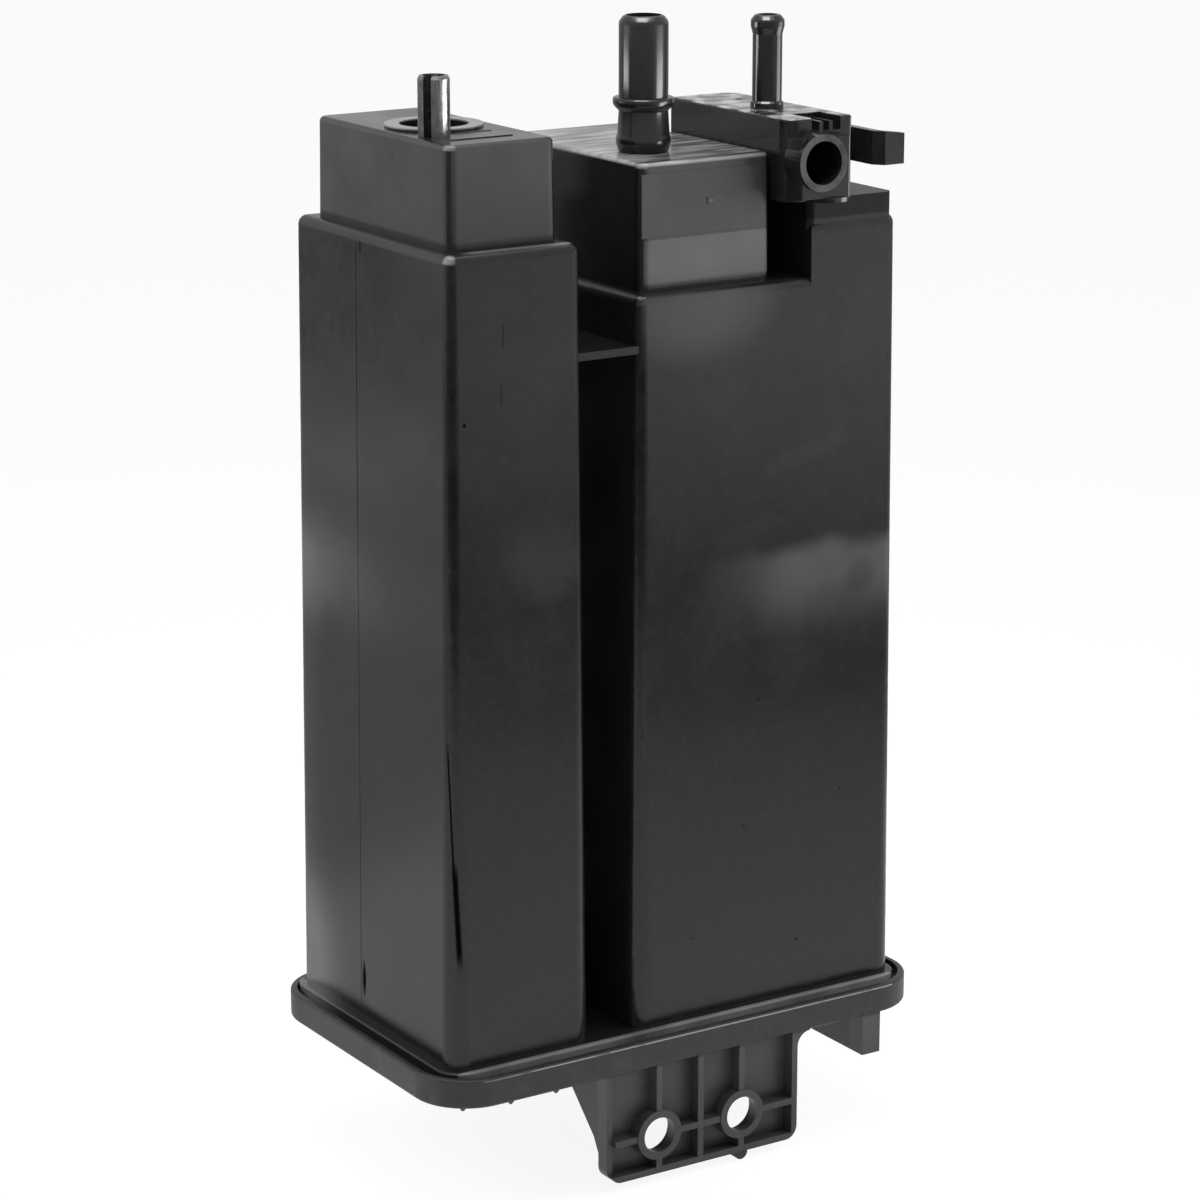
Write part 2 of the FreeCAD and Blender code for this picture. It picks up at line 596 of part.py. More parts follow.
def hollow_housing(body):
    """The chambers inside the housing, its divider, its boss and its holes."""
    foot = "-Sizes.flange_thickness"
    tapered(body, "TowerRoom", foot, "Sizes.tower_height - Sizes.wall", tower("Sizes.wall"),
            taken_away=True)
    tapered(body, "VentRoom", "Sizes.tower_height - 2 * Sizes.wall",
            "Sizes.vent_box_top - Sizes.wall", vent_box("Sizes.wall"), taken_away=True)
    tapered(body, "ChamberRoom", foot, "Sizes.chamber_height - Sizes.wall",
            chamber("Sizes.wall"), taken_away=True)
    tapered(body, "TankRoom", "Sizes.chamber_height - 2 * Sizes.wall",
            "Sizes.tank_box_top - Sizes.wall", tank_box("Sizes.wall"), taken_away=True)

    # The column's room, right of the divider wall
    room_left = "Sizes.column_left + Sizes.wall"
    lean = "Sizes.draft * Sizes.column_height"
    column = sketch_on(body, "ColumnRoom", "XY_Plane", room_left, f"{lean} + Sizes.wall",
                       "Sizes.chamber_height - 2 * Sizes.wall")
    draw_rounded_rectangle(column, f"Sizes.body_width - {lean} - Sizes.wall - ({room_left})",
                           f"Sizes.body_depth - 2 * ({lean} + Sizes.wall)", "Sizes.plinth_corner")
    pad(column, f"{column_ceiling()} - Sizes.chamber_height + 2 * Sizes.wall",
        taken_away=True, flipped=True)

    divider = sketch_on(body, "Divider", "XY_Plane", "Sizes.column_left",
                        "Sizes.draft * Sizes.divider_low + Sizes.wall / 2", "Sizes.divider_low")
    draw_rectangle(divider, "Sizes.wall",
                   "Sizes.body_depth - 2 * (Sizes.draft * Sizes.divider_low + Sizes.wall / 2)")
    pad(divider, "Sizes.chamber_height - Sizes.wall / 2 - Sizes.divider_low")

    boss = sketch_on(body, "PinBoss", "XY_Plane", "Sizes.pin_x", "Sizes.pin_y",
                     "Sizes.vent_box_top - Sizes.wall / 2")
    draw_circle(boss, "Sizes.pin_dia + 2 * Sizes.pin_boss_wall")
    pad(boss, "Sizes.pin_boss_depth + Sizes.wall / 2", flipped=True)

    holes = [
        ("PinHole", "Sizes.pin_x", "Sizes.pin_y", "Sizes.vent_box_top + Sizes.vent_ring_height",
         "Sizes.pin_seat_dia", "Sizes.pin_seat + Sizes.vent_ring_height"),
        ("VentHole", vent_x(), vent_y(), "Sizes.vent_box_top + Sizes.vent_ring_height",
         "Sizes.vent_hole_dia", "2 * Sizes.wall + Sizes.vent_ring_height"),
        ("TankHole", "Sizes.tank_port_x", "Sizes.tank_port_y", "Sizes.tank_box_top",
         "Sizes.spigot_dia + 2 * Sizes.fit_gap", "2 * Sizes.wall"),
        ("PurgeHole", "Sizes.purge_port_x + Sizes.wall + Sizes.purge_port_bore / 2",
         "Sizes.duct_back / 2", "Sizes.plinth_top", "Sizes.purge_port_bore + Sizes.wall / 2",
         "Sizes.plinth_top - Sizes.column_height + 2 * Sizes.wall"),
    ]
    for name, x, y, top, diameter, depth in holes:
        sketch = sketch_on(body, name, "XY_Plane", x, y, top)
        draw_circle(sketch, diameter)
        pad(sketch, depth, taken_away=True)
    return body


def spring_places():
    """Where the springs stand, in the body frame, with the name of each."""
    middle = "Sizes.body_depth / 2"
    tower_x = "Sizes.tower_width / 2"
    chamber_x = "(Sizes.chamber_left + Sizes.body_width) / 2"
    half_tower = "Sizes.tower_spring_pitch / 2"
    half_chamber = "Sizes.chamber_spring_pitch / 2"
    return {
        "tower_spring_front": (tower_x, f"{middle} - {half_tower}"),
        "tower_spring_rear": (tower_x, f"{middle} + {half_tower}"),
        "chamber_spring_front_left": (f"{chamber_x} - {half_chamber}", f"{middle} - {half_chamber}"),
        "chamber_spring_front_right": (f"{chamber_x} + {half_chamber}", f"{middle} - {half_chamber}"),
        "chamber_spring_rear_left": (f"{chamber_x} - {half_chamber}", f"{middle} + {half_chamber}"),
        "chamber_spring_rear_right": (f"{chamber_x} + {half_chamber}", f"{middle} + {half_chamber}"),
    }


def seat_dia():
    return "Sizes.spring_dia - 2 * (Sizes.spring_wire + Sizes.seat_ring_clearance)"


def bracket_front():
    """How far the bracket's ribs stand in front of the housing's front wall."""
    return "Sizes.cover_front"


def make_cover():
    """The welded bottom cover, with its lip, spring seats, mounting bracket and locating tab."""
    body = new_body("bottom_cover")
    level_slab(body, "Tray", "-Sizes.cover_depth", cover_outline("0"),
               "Sizes.cover_depth - Sizes.lip_drop")
    low = -number("Sizes.cover_depth")
    round_edges(body, "TrayRound", "Sizes.cover_round", lambda edge: at_height(edge, low))
    lip = -number("Sizes.lip_drop")
    round_edges(body, "LipRound", "Sizes.lip_round", lambda edge: at_height(edge, lip))
    level_slab(body, "Lip", "-Sizes.lip_drop", cover_outline("Sizes.lip_wall"),
               "Sizes.flange_thickness - Sizes.lip_drop", taken_away=True)
    level_slab(body, "TrayRoom", "-Sizes.flange_thickness", foot_outline("-Sizes.wall"),
               "Sizes.cover_depth - Sizes.cover_floor - Sizes.flange_thickness", taken_away=True)
    for name, (x, y) in spring_places().items():
        seat = sketch_on(body, f"Seat_{name}", "XY_Plane", x, y, "-Sizes.cover_depth + Sizes.cover_floor / 2")
        draw_circle(seat, seat_dia())
        pad(seat, "Sizes.cover_floor / 2 + Sizes.seat_ring_height")
    add_bracket(body)
    add_tab(body)
    return body


def add_bracket(body):
    """Plate, gussets, ribs and bosses, drawn from the front."""
    left = "Sizes.bracket_centre - Sizes.bracket_left"
    height = "Sizes.bracket_drop - Sizes.cover_depth"
    plate_back = "Sizes.bracket_back"
    plate_front = "Sizes.bracket_back + Sizes.bracket_plate"
    # Distances in front of the housing's front wall are positive here
    plate = sketch_on(body, "Plate", "XZ_Plane", left, "-Sizes.bracket_drop", plate_back)
    rise = f"{height} + Sizes.cover_floor / 2"
    draw_rectangle(plate, "Sizes.bracket_width", rise)
    pad(plate, "Sizes.bracket_plate")

    rib_depth = f"{bracket_front()} - ({plate_front})"
    last_rib = f"{left} + Sizes.bracket_width - Sizes.bracket_rib"
    half = "Sizes.bolt_spacing / 2"
    top_rib = "Sizes.bracket_drop - Sizes.cover_depth"
    uprights = {
        "RibRight": last_rib,
        "RibMiddle": "Sizes.bracket_centre - Sizes.bracket_rib / 2",
        "RibHoleLeft": f"Sizes.bracket_centre - {half} - Sizes.bracket_rib / 2",
        "RibHoleRight": f"Sizes.bracket_centre + {half} - Sizes.bracket_rib / 2",
    }
    for name, x in uprights.items():
        rib = sketch_on(body, name, "XZ_Plane", x, "-Sizes.bracket_drop",
                        f"{plate_front} - Sizes.bracket_plate / 2")
        draw_rectangle(rib, "Sizes.bracket_rib", f"{top_rib} + Sizes.cover_floor / 2")
        pad(rib, f"{rib_depth} + Sizes.bracket_plate / 2")
    level_ribs = {
        "RibLow": ("0", "-Sizes.bracket_drop"),
        "RibBolts": ("Sizes.bracket_rib", "-Sizes.bolt_drop - Sizes.bracket_rib / 2"),
    }
    for name, (start, z) in level_ribs.items():
        rib = sketch_on(body, name, "XZ_Plane", f"{left} + {start}", z,
                        f"{plate_front} - Sizes.bracket_plate / 2")
        draw_rectangle(rib, f"Sizes.bracket_width - {start}", "Sizes.bracket_rib")
        pad(rib, f"{rib_depth} + Sizes.bracket_plate / 2")
    border = sketch_on(body, "Border", "XZ_Plane", left, "-Sizes.bracket_drop",
                       f"{plate_front} - Sizes.bracket_plate / 2")
    draw_rectangle(border, "Sizes.bracket_rib", f"{top_rib} + Sizes.cover_floor / 2")
    pad(border, "Sizes.border_height + Sizes.bracket_plate / 2")
    low = -number("Sizes.bracket_drop")
    ends = [number(left), number(f"{left} + Sizes.bracket_width")]

    def lower_corner(edge):
        box = edge.BoundBox
        upright = abs(box.ZMin - low) < 0.05 and abs(box.ZMax - low) < 0.05
        return upright and box.XLength < 0.05 and any(abs(box.XMin - end) < 0.05 for end in ends)

    round_edges(body, "BracketCorner", "Sizes.bracket_corner", lower_corner)

    for side, sign in (("Left", "-"), ("Right", "+")):
        x = f"Sizes.bracket_centre {sign} {half}"
        boss = sketch_on(body, f"Boss{side}", "XZ_Plane", x, "-Sizes.bolt_drop", plate_back)
        draw_circle(boss, "Sizes.bolt_hole_dia + 2 * Sizes.bolt_boss_wall")
        pad(boss, "Sizes.boss_front - Sizes.bracket_back")
    recess = "Sizes.boss_front - Sizes.bracket_back - Sizes.bolt_lip"
    for side, sign in (("Left", "-"), ("Right", "+")):
        x = f"Sizes.bracket_centre {sign} {half}"
        hole = sketch_on(body, f"Hole{side}", "XZ_Plane", x, "-Sizes.bolt_drop", "Sizes.boss_front")
        draw_circle(hole, "Sizes.bolt_hole_dia")
        pad(hole, "Sizes.boss_front", taken_away=True)
        behind = sketch_on(body, f"Recess{side}", "XZ_Plane", x, "-Sizes.bolt_drop", plate_back)
        draw_circle(behind, "Sizes.bolt_recess_dia")
        pad(behind, recess, taken_away=True, flipped=True)
        mouth = sketch_on(body, f"Mouth{side}", "XZ_Plane", x, "-Sizes.bolt_drop", plate_back)
        draw_circle(mouth, "Sizes.bolt_mouth_dia")
        pad(mouth, "Sizes.bolt_mouth_depth", taken_away=True, flipped=True)

    nub = sketch_on(body, "Nub", "XZ_Plane", f"Sizes.bracket_centre + {half}",
                    "-Sizes.bracket_drop - Sizes.nub_drop + Sizes.nub_dia / 2",
                    f"{plate_front} - Sizes.bracket_plate / 2")
    draw_circle(nub, "Sizes.nub_dia")
    pad(nub, f"{rib_depth} + Sizes.bracket_plate / 2")

    # Hollow round between the bracket's right end and the cover's underside
    hollow = sketch_on(body, "Hollow", "XZ_Plane", f"{left} + Sizes.bracket_width", "-Sizes.cover_depth",
                       plate_back)
    draw_hollow_corner(hollow, "Sizes.bracket_hollow", "Sizes.cover_floor / 2")
    pad(hollow, f"{bracket_front()} - Sizes.bracket_back")

    # Gussets behind the plate's two ends, under the cover
    foot = "-Sizes.bracket_drop + Sizes.gusset_foot"
    profile = [
        ("-Sizes.bracket_back", "-Sizes.cover_depth + Sizes.cover_floor / 2"),
        ("Sizes.gusset_reach", "-Sizes.cover_depth + Sizes.cover_floor / 2"),
        ("Sizes.gusset_reach", "-Sizes.cover_depth - Sizes.gusset_heel"),
        ("Sizes.gusset_bend_y", "-Sizes.bracket_drop + Sizes.gusset_bend"),
        ("-Sizes.bracket_back", foot),
    ]
    for name, x in (("GussetLeft", left), ("GussetRight", last_rib)):
        gusset = sketch_on(body, name, "YZ_Plane", "0", "0", x)
        draw_outline(gusset, [(f"{y} - Sizes.bracket_back / 2", z) if index in (0, 4) else (y, z)
                              for index, (y, z) in enumerate(profile)])
        pad(gusset, "Sizes.bracket_rib")


def draw_hollow_corner(sketch, radius, above):
    """A corner web from the sketch's origin: it carries on above the corner and has a hollow round."""
    r, t = number(radius), number(above)
    quarter = FreeCAD.Units.Quantity("90 deg").getValueAs("rad").Value
    corners = [point(0, -r), point(0, t), point(r, t), point(r, 0)]
    for index in range(3):
        sketch.addGeometry(Part.LineSegment(corners[index], corners[index + 1]), False)
    circle = Part.Circle(point(r, -r), FreeCAD.Vector(0, 0, 1), r)
    sketch.addGeometry(Part.ArcOfCircle(circle, quarter, 2 * quarter), False)
    for index in range(3):
        sketch.addConstraint(Sketcher.Constraint("Coincident", index, 2, index + 1, 1))
    sketch.addConstraint(Sketcher.Constraint("Tangent", 3, 2, 0, 1))
    sketch.addConstraint(Sketcher.Constraint("Vertical", 0))
    sketch.addConstraint(Sketcher.Constraint("Horizontal", 1))
    sketch.addConstraint(Sketcher.Constraint("Vertical", 2))
    sketch.addConstraint(Sketcher.Constraint("PointOnObject", 0, 1, -2))
    sketch.addConstraint(Sketcher.Constraint("PointOnObject", 2, 2, -1))
    name_datum(sketch, "above", above, "DistanceY", -1, 1, 0, 2)
    name_datum(sketch, "wide", radius, "DistanceX", -1, 1, 1, 2)
    name_datum(sketch, "round", radius, "Radius", 3)


def add_tab(body):
    """The locating tab under the cover's right end: a long upright plate with a front face."""
    drop = "Sizes.tab_drop - Sizes.cover_depth + Sizes.cover_floor / 2"
    web = sketch_on(body, "TabWeb", "XY_Plane", "Sizes.tab_left", "-Sizes.cover_front", "-Sizes.tab_drop")
    draw_rectangle(web, "Sizes.tab_wall", "Sizes.tab_length")
    pad(web, drop)
    face = sketch_on(body, "TabFace", "XY_Plane", "Sizes.tab_left", "-Sizes.cover_front", "-Sizes.tab_drop")
    draw_rectangle(face, "Sizes.tab_face", "Sizes.tab_wall")
    pad(face, drop)


def make_tank_port():
    """The quick-connect port: collar, shank, bead and tip round one bore, with a spigot below."""
    body = new_body("tank_port")
    bind(body, {
        "Placement.Base.x": "Sizes.tank_port_x - Sizes.bracket_centre",
        "Placement.Base.y": "Sizes.tank_port_y + Sizes.boss_front",
    })
    bore = "Sizes.tank_port_bore / 2"
    tube = "Sizes.tank_port_dia / 2"
    bead = "Sizes.bead_dia / 2"
    collar = "Sizes.collar_dia / 2"
    top = "Sizes.tank_port_top"
    bead_low = "Sizes.bead_height - Sizes.bead_width"
    box_top = "Sizes.tank_box_top"
    collar_top = f"{box_top} + Sizes.collar_height"
    collar_widest = f"{collar_top} - Sizes.collar_flare / 2"
    section_line = [
        (bore, f"{box_top} - Sizes.wall"),
        ("Sizes.spigot_dia / 2", f"{box_top} - Sizes.wall"),
        ("Sizes.spigot_dia / 2", box_top),
        (tube, box_top),
        (collar, f"{box_top} + Sizes.collar_flare"),
        (collar, collar_widest),
        ("Sizes.neck_dia / 2", collar_top),
        (tube, f"{bead_low} - (Sizes.bead_dia - Sizes.tank_port_dia) / 2"),
        (bead, bead_low),
        (bead, "Sizes.bead_height"),
        (tube, "Sizes.bead_height"),
        (tube, f"{top} - Sizes.tank_port_tip"),
        (f"{tube} - Sizes.tank_port_lead", top),
        (bore, top),
    ]
    sketch = sketch_on(body, "PortSection", "XZ_Plane")
    draw_outline(sketch, section_line)
    revolve(sketch)
    rings = [
        ("Sizes.collar_dia", f"{box_top} + Sizes.collar_flare"),
        ("Sizes.collar_dia", collar_widest),
        ("Sizes.bead_dia", bead_low),
        ("Sizes.bead_dia", "Sizes.bead_height"),
        ("Sizes.tank_port_dia", f"{top} - Sizes.tank_port_tip"),
        ("Sizes.tank_port_dia - 2 * Sizes.tank_port_lead", top),
    ]
    round_edges(body, "PortRound", "Sizes.port_round",
                lambda edge: any(ring_edge(edge, diameter, height) for diameter, height in rings))
    return body


def make_valve_duct():
    """The purge duct with its hose nipple, the valve socket on its front end and the clip arm."""
    body = new_body("valve_duct")
    foot = "Sizes.plinth_top"
    duct = sketch_on(body, "Duct", "XY_Plane", "Sizes.duct_left", "Sizes.duct_front", foot)
    draw_rectangle(duct, "Sizes.duct_right - Sizes.duct_left", "Sizes.duct_back - Sizes.duct_front")
    pad(duct, f"Sizes.duct_top - {foot}")
    right, rear = number("Sizes.duct_right"), number("Sizes.duct_back")
    left, front = number("Sizes.duct_left"), number("Sizes.duct_front")

    def upright(edge):
        return edge.BoundBox.ZLength > number(f"(Sizes.duct_top - {foot}) / 2")

    def rear_right(edge):
        box = edge.BoundBox
        return upright(edge) and abs(box.XMin - right) < 0.05 and abs(box.YMax - rear) < 0.05

    def front_left(edge):
        box = edge.BoundBox
        return upright(edge) and abs(box.XMin - left) < 0.05 and abs(box.YMin - front) < 0.05

    round_edges(body, "RearRound", "Sizes.duct_rear_round", rear_right)
    round_edges(body, "FrontRound", "Sizes.duct_front_round", front_left)
    near_rear = number("Sizes.duct_rear_round + Sizes.duct_wall")
    near_front = number("Sizes.duct_front_round + Sizes.duct_wall")

    def other_corner(edge):
        box = edge.BoundBox
        by_rear = box.XMax > right - near_rear and box.YMax > rear - near_rear
        by_front = box.XMin < left + near_front and box.YMin < front + near_front
        return upright(edge) and not by_rear and not by_front

    round_edges(body, "CornerRound", "Sizes.duct_round", other_corner)
    block = sketch_on(body, "Block", "XY_Plane", "Sizes.socket_block_left",
                      "Sizes.socket_front + Sizes.socket_lip", f"{foot} + Sizes.foot_height")
    draw_rounded_rectangle(block, "Sizes.socket_block_right - Sizes.socket_block_left",
                           "Sizes.notch_back - Sizes.socket_front - Sizes.socket_lip",
                           "Sizes.socket_block_round")
    pad(block, f"Sizes.socket_block_top - {foot} - Sizes.foot_height")
    tops = [number("Sizes.duct_top")]
    round_edges(body, "DuctRound", "Sizes.edge_round / 2",
                lambda edge: any(at_height(edge, height) for height in tops))

    notch = sketch_on(body, "Notch", "XY_Plane", "Sizes.notch_left",
                      "Sizes.duct_front - Sizes.duct_wall", "Sizes.duct_top")
    draw_rectangle(notch, "Sizes.notch_right - Sizes.notch_left",
                   "Sizes.notch_back - Sizes.duct_front + Sizes.duct_wall")
    pad(notch, "Sizes.duct_top - Sizes.notch_floor", taken_away=True)
    third = "(Sizes.notch_right - Sizes.notch_left) / 3"
    for index in (1, 2):
        rib = sketch_on(body, f"NotchRib{index}", "XY_Plane",
                        f"Sizes.notch_left + {index} * {third} - Sizes.notch_rib / 2",
                        "Sizes.duct_front", "Sizes.notch_floor - Sizes.duct_wall / 4")
        draw_rectangle(rib, "Sizes.notch_rib", "Sizes.notch_back - Sizes.duct_front + Sizes.duct_wall / 4")
        pad(rib, "Sizes.notch_rib_height + Sizes.duct_wall / 4")

    socket = sketch_on(body, "Socket", "XZ_Plane", "Sizes.socket_x", "Sizes.socket_z",
                       "-Sizes.duct_front - Sizes.duct_wall")
    draw_circle(socket, "Sizes.socket_dia")
    pad(socket, "Sizes.duct_front + Sizes.duct_wall - Sizes.socket_front")
    foot_disc = sketch_on(body, "SocketFoot", "XY_Plane", "Sizes.body_width - Sizes.foot_place",
                          "Sizes.foot_y", foot)
    draw_circle(foot_disc, "Sizes.foot_dia")
    pad(foot_disc, "Sizes.foot_height")

    # Room inside the duct, open to the plinth below and to the socket in front
    room = sketch_on(body, "DuctRoom", "XY_Plane", "Sizes.plinth_left + Sizes.duct_wall",
                     "Sizes.notch_back + 3 * Sizes.duct_wall", foot)
    draw_rectangle(room, "Sizes.duct_right - Sizes.plinth_left - 2 * Sizes.duct_wall",
                   "Sizes.duct_back - Sizes.notch_back - 4 * Sizes.duct_wall")
    pad(room, f"Sizes.duct_top - {foot} - Sizes.duct_wall", taken_away=True, flipped=True)
    bore = sketch_on(body, "SocketBore", "XZ_Plane", "Sizes.socket_x", "Sizes.socket_z",
                     "-Sizes.socket_front")
    draw_circle(bore, "Sizes.socket_bore")
    pad(bore, "Sizes.socket_depth", taken_away=True)
    link = sketch_on(body, "SocketLink", "XZ_Plane", "Sizes.socket_x + Sizes.socket_bore / 4",
                     "Sizes.socket_z", "-Sizes.socket_front")
    draw_circle(link, "Sizes.socket_bore / 3")
    pad(link, "Sizes.notch_back + 4 * Sizes.duct_wall - Sizes.socket_front", taken_away=True)

    add_purge_nipple(body)
    add_arm(body)
    return body


def add_purge_nipple(body):
    """The hose nipple on the duct's top, with a barb at its tip."""
    tube = "Sizes.purge_port_dia / 2"
    barb = "Sizes.barb_dia / 2"
    collar = "Sizes.purge_foot_dia / 2"
    top = "Sizes.purge_port_top"
    foot_end = "Sizes.duct_top + Sizes.purge_foot_height"
    nose = "Sizes.barb_nose * 4 / 5"
    sunk = "Sizes.duct_top - Sizes.duct_wall / 2"
    line = [
        ("0", sunk),
        (collar, sunk),
        (collar, f"{foot_end} - (Sizes.purge_foot_dia - Sizes.purge_port_dia) / 2"),
        (tube, foot_end),
        (tube, f"{top} - Sizes.barb_length"),
        (barb, f"{top} - Sizes.barb_shoulder"),
        (barb, f"{top} - Sizes.barb_nose"),
        (f"{barb} - {nose}", top),
        ("0", top),
    ]
    # Half section from the nipple's own axis outwards
    sketch = sketch_on(body, "NippleSection", "XZ_Plane", "Sizes.purge_port_x", "0", "-Sizes.purge_port_y")
    draw_outline_on_axis(sketch, line)
    revolve(sketch)
    rings = [
        ("Sizes.barb_dia", f"{top} - Sizes.barb_shoulder"),
        ("Sizes.barb_dia", f"{top} - Sizes.barb_nose"),
        (f"Sizes.barb_dia - 2 * {nose}", top),
    ]
    round_edges(body, "BarbRound", "Sizes.barb_round",
                lambda edge: any(ring_edge(edge, diameter, height) for diameter, height in rings))
    bore = sketch_on(body, "NippleBore", "XY_Plane", "Sizes.purge_port_x", "Sizes.purge_port_y", top)
    draw_circle(bore, "Sizes.purge_port_bore")
    pad(bore, f"{top} - Sizes.duct_top + 2 * Sizes.duct_wall", taken_away=True)


def draw_outline_on_axis(sketch, corners):
    """A closed outline whose first and last corners lie on the upright axis."""
    spots = [point(number(x), number(y)) for x, y in corners]
    count = len(spots)
    for index in range(count):
        sketch.addGeometry(Part.LineSegment(spots[index], spots[(index + 1) % count]), False)
    for index in range(count):
        sketch.addConstraint(Sketcher.Constraint("Coincident", index, 2, (index + 1) % count, 1))
    for index, (x, y) in enumerate(corners):
        if x == "0":
            sketch.addConstraint(Sketcher.Constraint("PointOnObject", index, 1, -2))
        else:
            name_datum(sketch, f"x{index}", x, "DistanceX", -1, 1, index, 1)
        name_datum(sketch, f"y{index}", y, "DistanceY", -1, 1, index, 1)


def add_arm(body):
    """The clip arm beside the socket: out from the duct, forward, then out again to its tip."""
    reach = "Sizes.arm_out + Sizes.arm_wall"
    line = [
        ("Sizes.duct_right - Sizes.duct_wall / 2", "Sizes.arm_back - Sizes.arm_wall"),
        ("Sizes.arm_out", "Sizes.arm_back - Sizes.arm_wall"),
        ("Sizes.arm_out", "Sizes.arm_front"),
        ("Sizes.arm_bend_x", "Sizes.arm_tip_y"),
        ("Sizes.arm_tip_x", "Sizes.arm_tip_y"),
        ("Sizes.arm_tip_x", "Sizes.arm_tip_y + Sizes.arm_wall"),
        ("Sizes.arm_bend_x + Sizes.arm_wall / 2", "Sizes.arm_tip_y + Sizes.arm_wall"),
        (reach, "Sizes.arm_front + Sizes.arm_wall / 2"),
        (reach, "Sizes.arm_back"),
        ("Sizes.duct_right - Sizes.duct_wall / 2", "Sizes.arm_back"),
    ]
    arm = sketch_on(body, "Arm", "XY_Plane", "0", "0", "Sizes.arm_low")
    draw_outline(arm, line)
    pad(arm, "Sizes.arm_high - Sizes.arm_low")
    slope = sketch_on(body, "ArmSlope", "XZ_Plane", z="Sizes.arm_wall - Sizes.arm_tip_y")
    draw_outline(slope, [
        ("Sizes.arm_bend_x", "Sizes.arm_high"),
        ("Sizes.arm_tip_x + Sizes.arm_wall", "Sizes.arm_high - Sizes.arm_tip_drop"),
        ("Sizes.arm_tip_x + Sizes.arm_wall", "Sizes.arm_high + Sizes.arm_wall"),
        ("Sizes.arm_bend_x", "Sizes.arm_high + Sizes.arm_wall"),
    ])
    pad(slope, "Sizes.arm_back - Sizes.arm_tip_y + Sizes.arm_wall", taken_away=True)


def make_pin():
    """The rolled steel pin that locates the canister's upper end."""
    body = new_body("locating_pin")
    bind(body, {
        "Placement.Base.x": "Sizes.pin_x - Sizes.bracket_centre",
        "Placement.Base.y": "Sizes.pin_y + Sizes.boss_front",
        "Placement.Rotation.Angle": "Sizes.pin_turn",
    })
    body.Placement.Rotation.Axis = FreeCAD.Vector(0, 0, 1)
    low = "Sizes.vent_box_top - Sizes.pin_seat"
    high = "Sizes.vent_box_top + Sizes.pin_height"
    outer = "Sizes.pin_dia / 2"
    shoulder = "Sizes.vent_box_top + Sizes.fit_gap"
    line = [
        (f"{outer} - Sizes.pin_wall", low),
        ("Sizes.pin_seat_dia / 2", low),
        ("Sizes.pin_seat_dia / 2", shoulder),
        (outer, shoulder),
        (outer, f"{high} - Sizes.pin_chamfer"),
        (f"{outer} - Sizes.pin_chamfer / 2", high),
        (f"{outer} - Sizes.pin_wall", high),
    ]
    section_sketch = sketch_on(body, "PinSection", "XZ_Plane")
    draw_outline(section_sketch, line)
    revolve(section_sketch)
    gap = sketch_on(body, "PinGap", "XY_Plane", "0", "-Sizes.pin_slot / 2", high)
    draw_rectangle(gap, "Sizes.pin_dia", "Sizes.pin_slot")
    pad(gap, "Sizes.pin_height + Sizes.pin_seat", taken_away=True)
    return body


def inside(outline, inset="Sizes.wall + Sizes.fit_gap"):
    """The outline of a filling that lies inside a chamber."""
    return outline(inset)


def pad_levels():
    """Heights that the filling shares, from the plates up."""
    low_pad = "Sizes.plate_height + Sizes.plate"
    bed = f"{low_pad} + Sizes.low_pad"
    tower_top = "Sizes.tower_height - Sizes.wall"
    chamber_top = "Sizes.chamber_height - Sizes.wall"
    return low_pad, bed, tower_top, chamber_top


def column_edge(height, inset):
    """The outline of the purge side, between the divider and the right wall."""
    lean = f"Sizes.draft * ({height})"
    left = f"Sizes.column_left + Sizes.wall + {inset}"
    front = f"{lean} + Sizes.wall + {inset}"
    return {
        "x": left,
        "y": front,
        "wide": f"Sizes.body_width - {lean} - Sizes.wall - {inset} - ({left})",
        "deep": f"Sizes.body_depth - 2 * ({front})",
        "corner": "Sizes.plinth_corner",
    }


def tank_edge(height, inset):
    """The outline of the tank side, between the left wall and the divider."""
    lean = f"Sizes.draft * ({height})"
    left = f"Sizes.chamber_left + {lean} + Sizes.wall + {inset}"
    front = f"{lean} + Sizes.wall + {inset}"
    return {
        "x": left,
        "y": front,
        "wide": f"Sizes.column_left - {inset} - ({left})",
        "deep": f"Sizes.body_depth - 2 * ({front})",
        "corner": "Sizes.plinth_corner",
    }


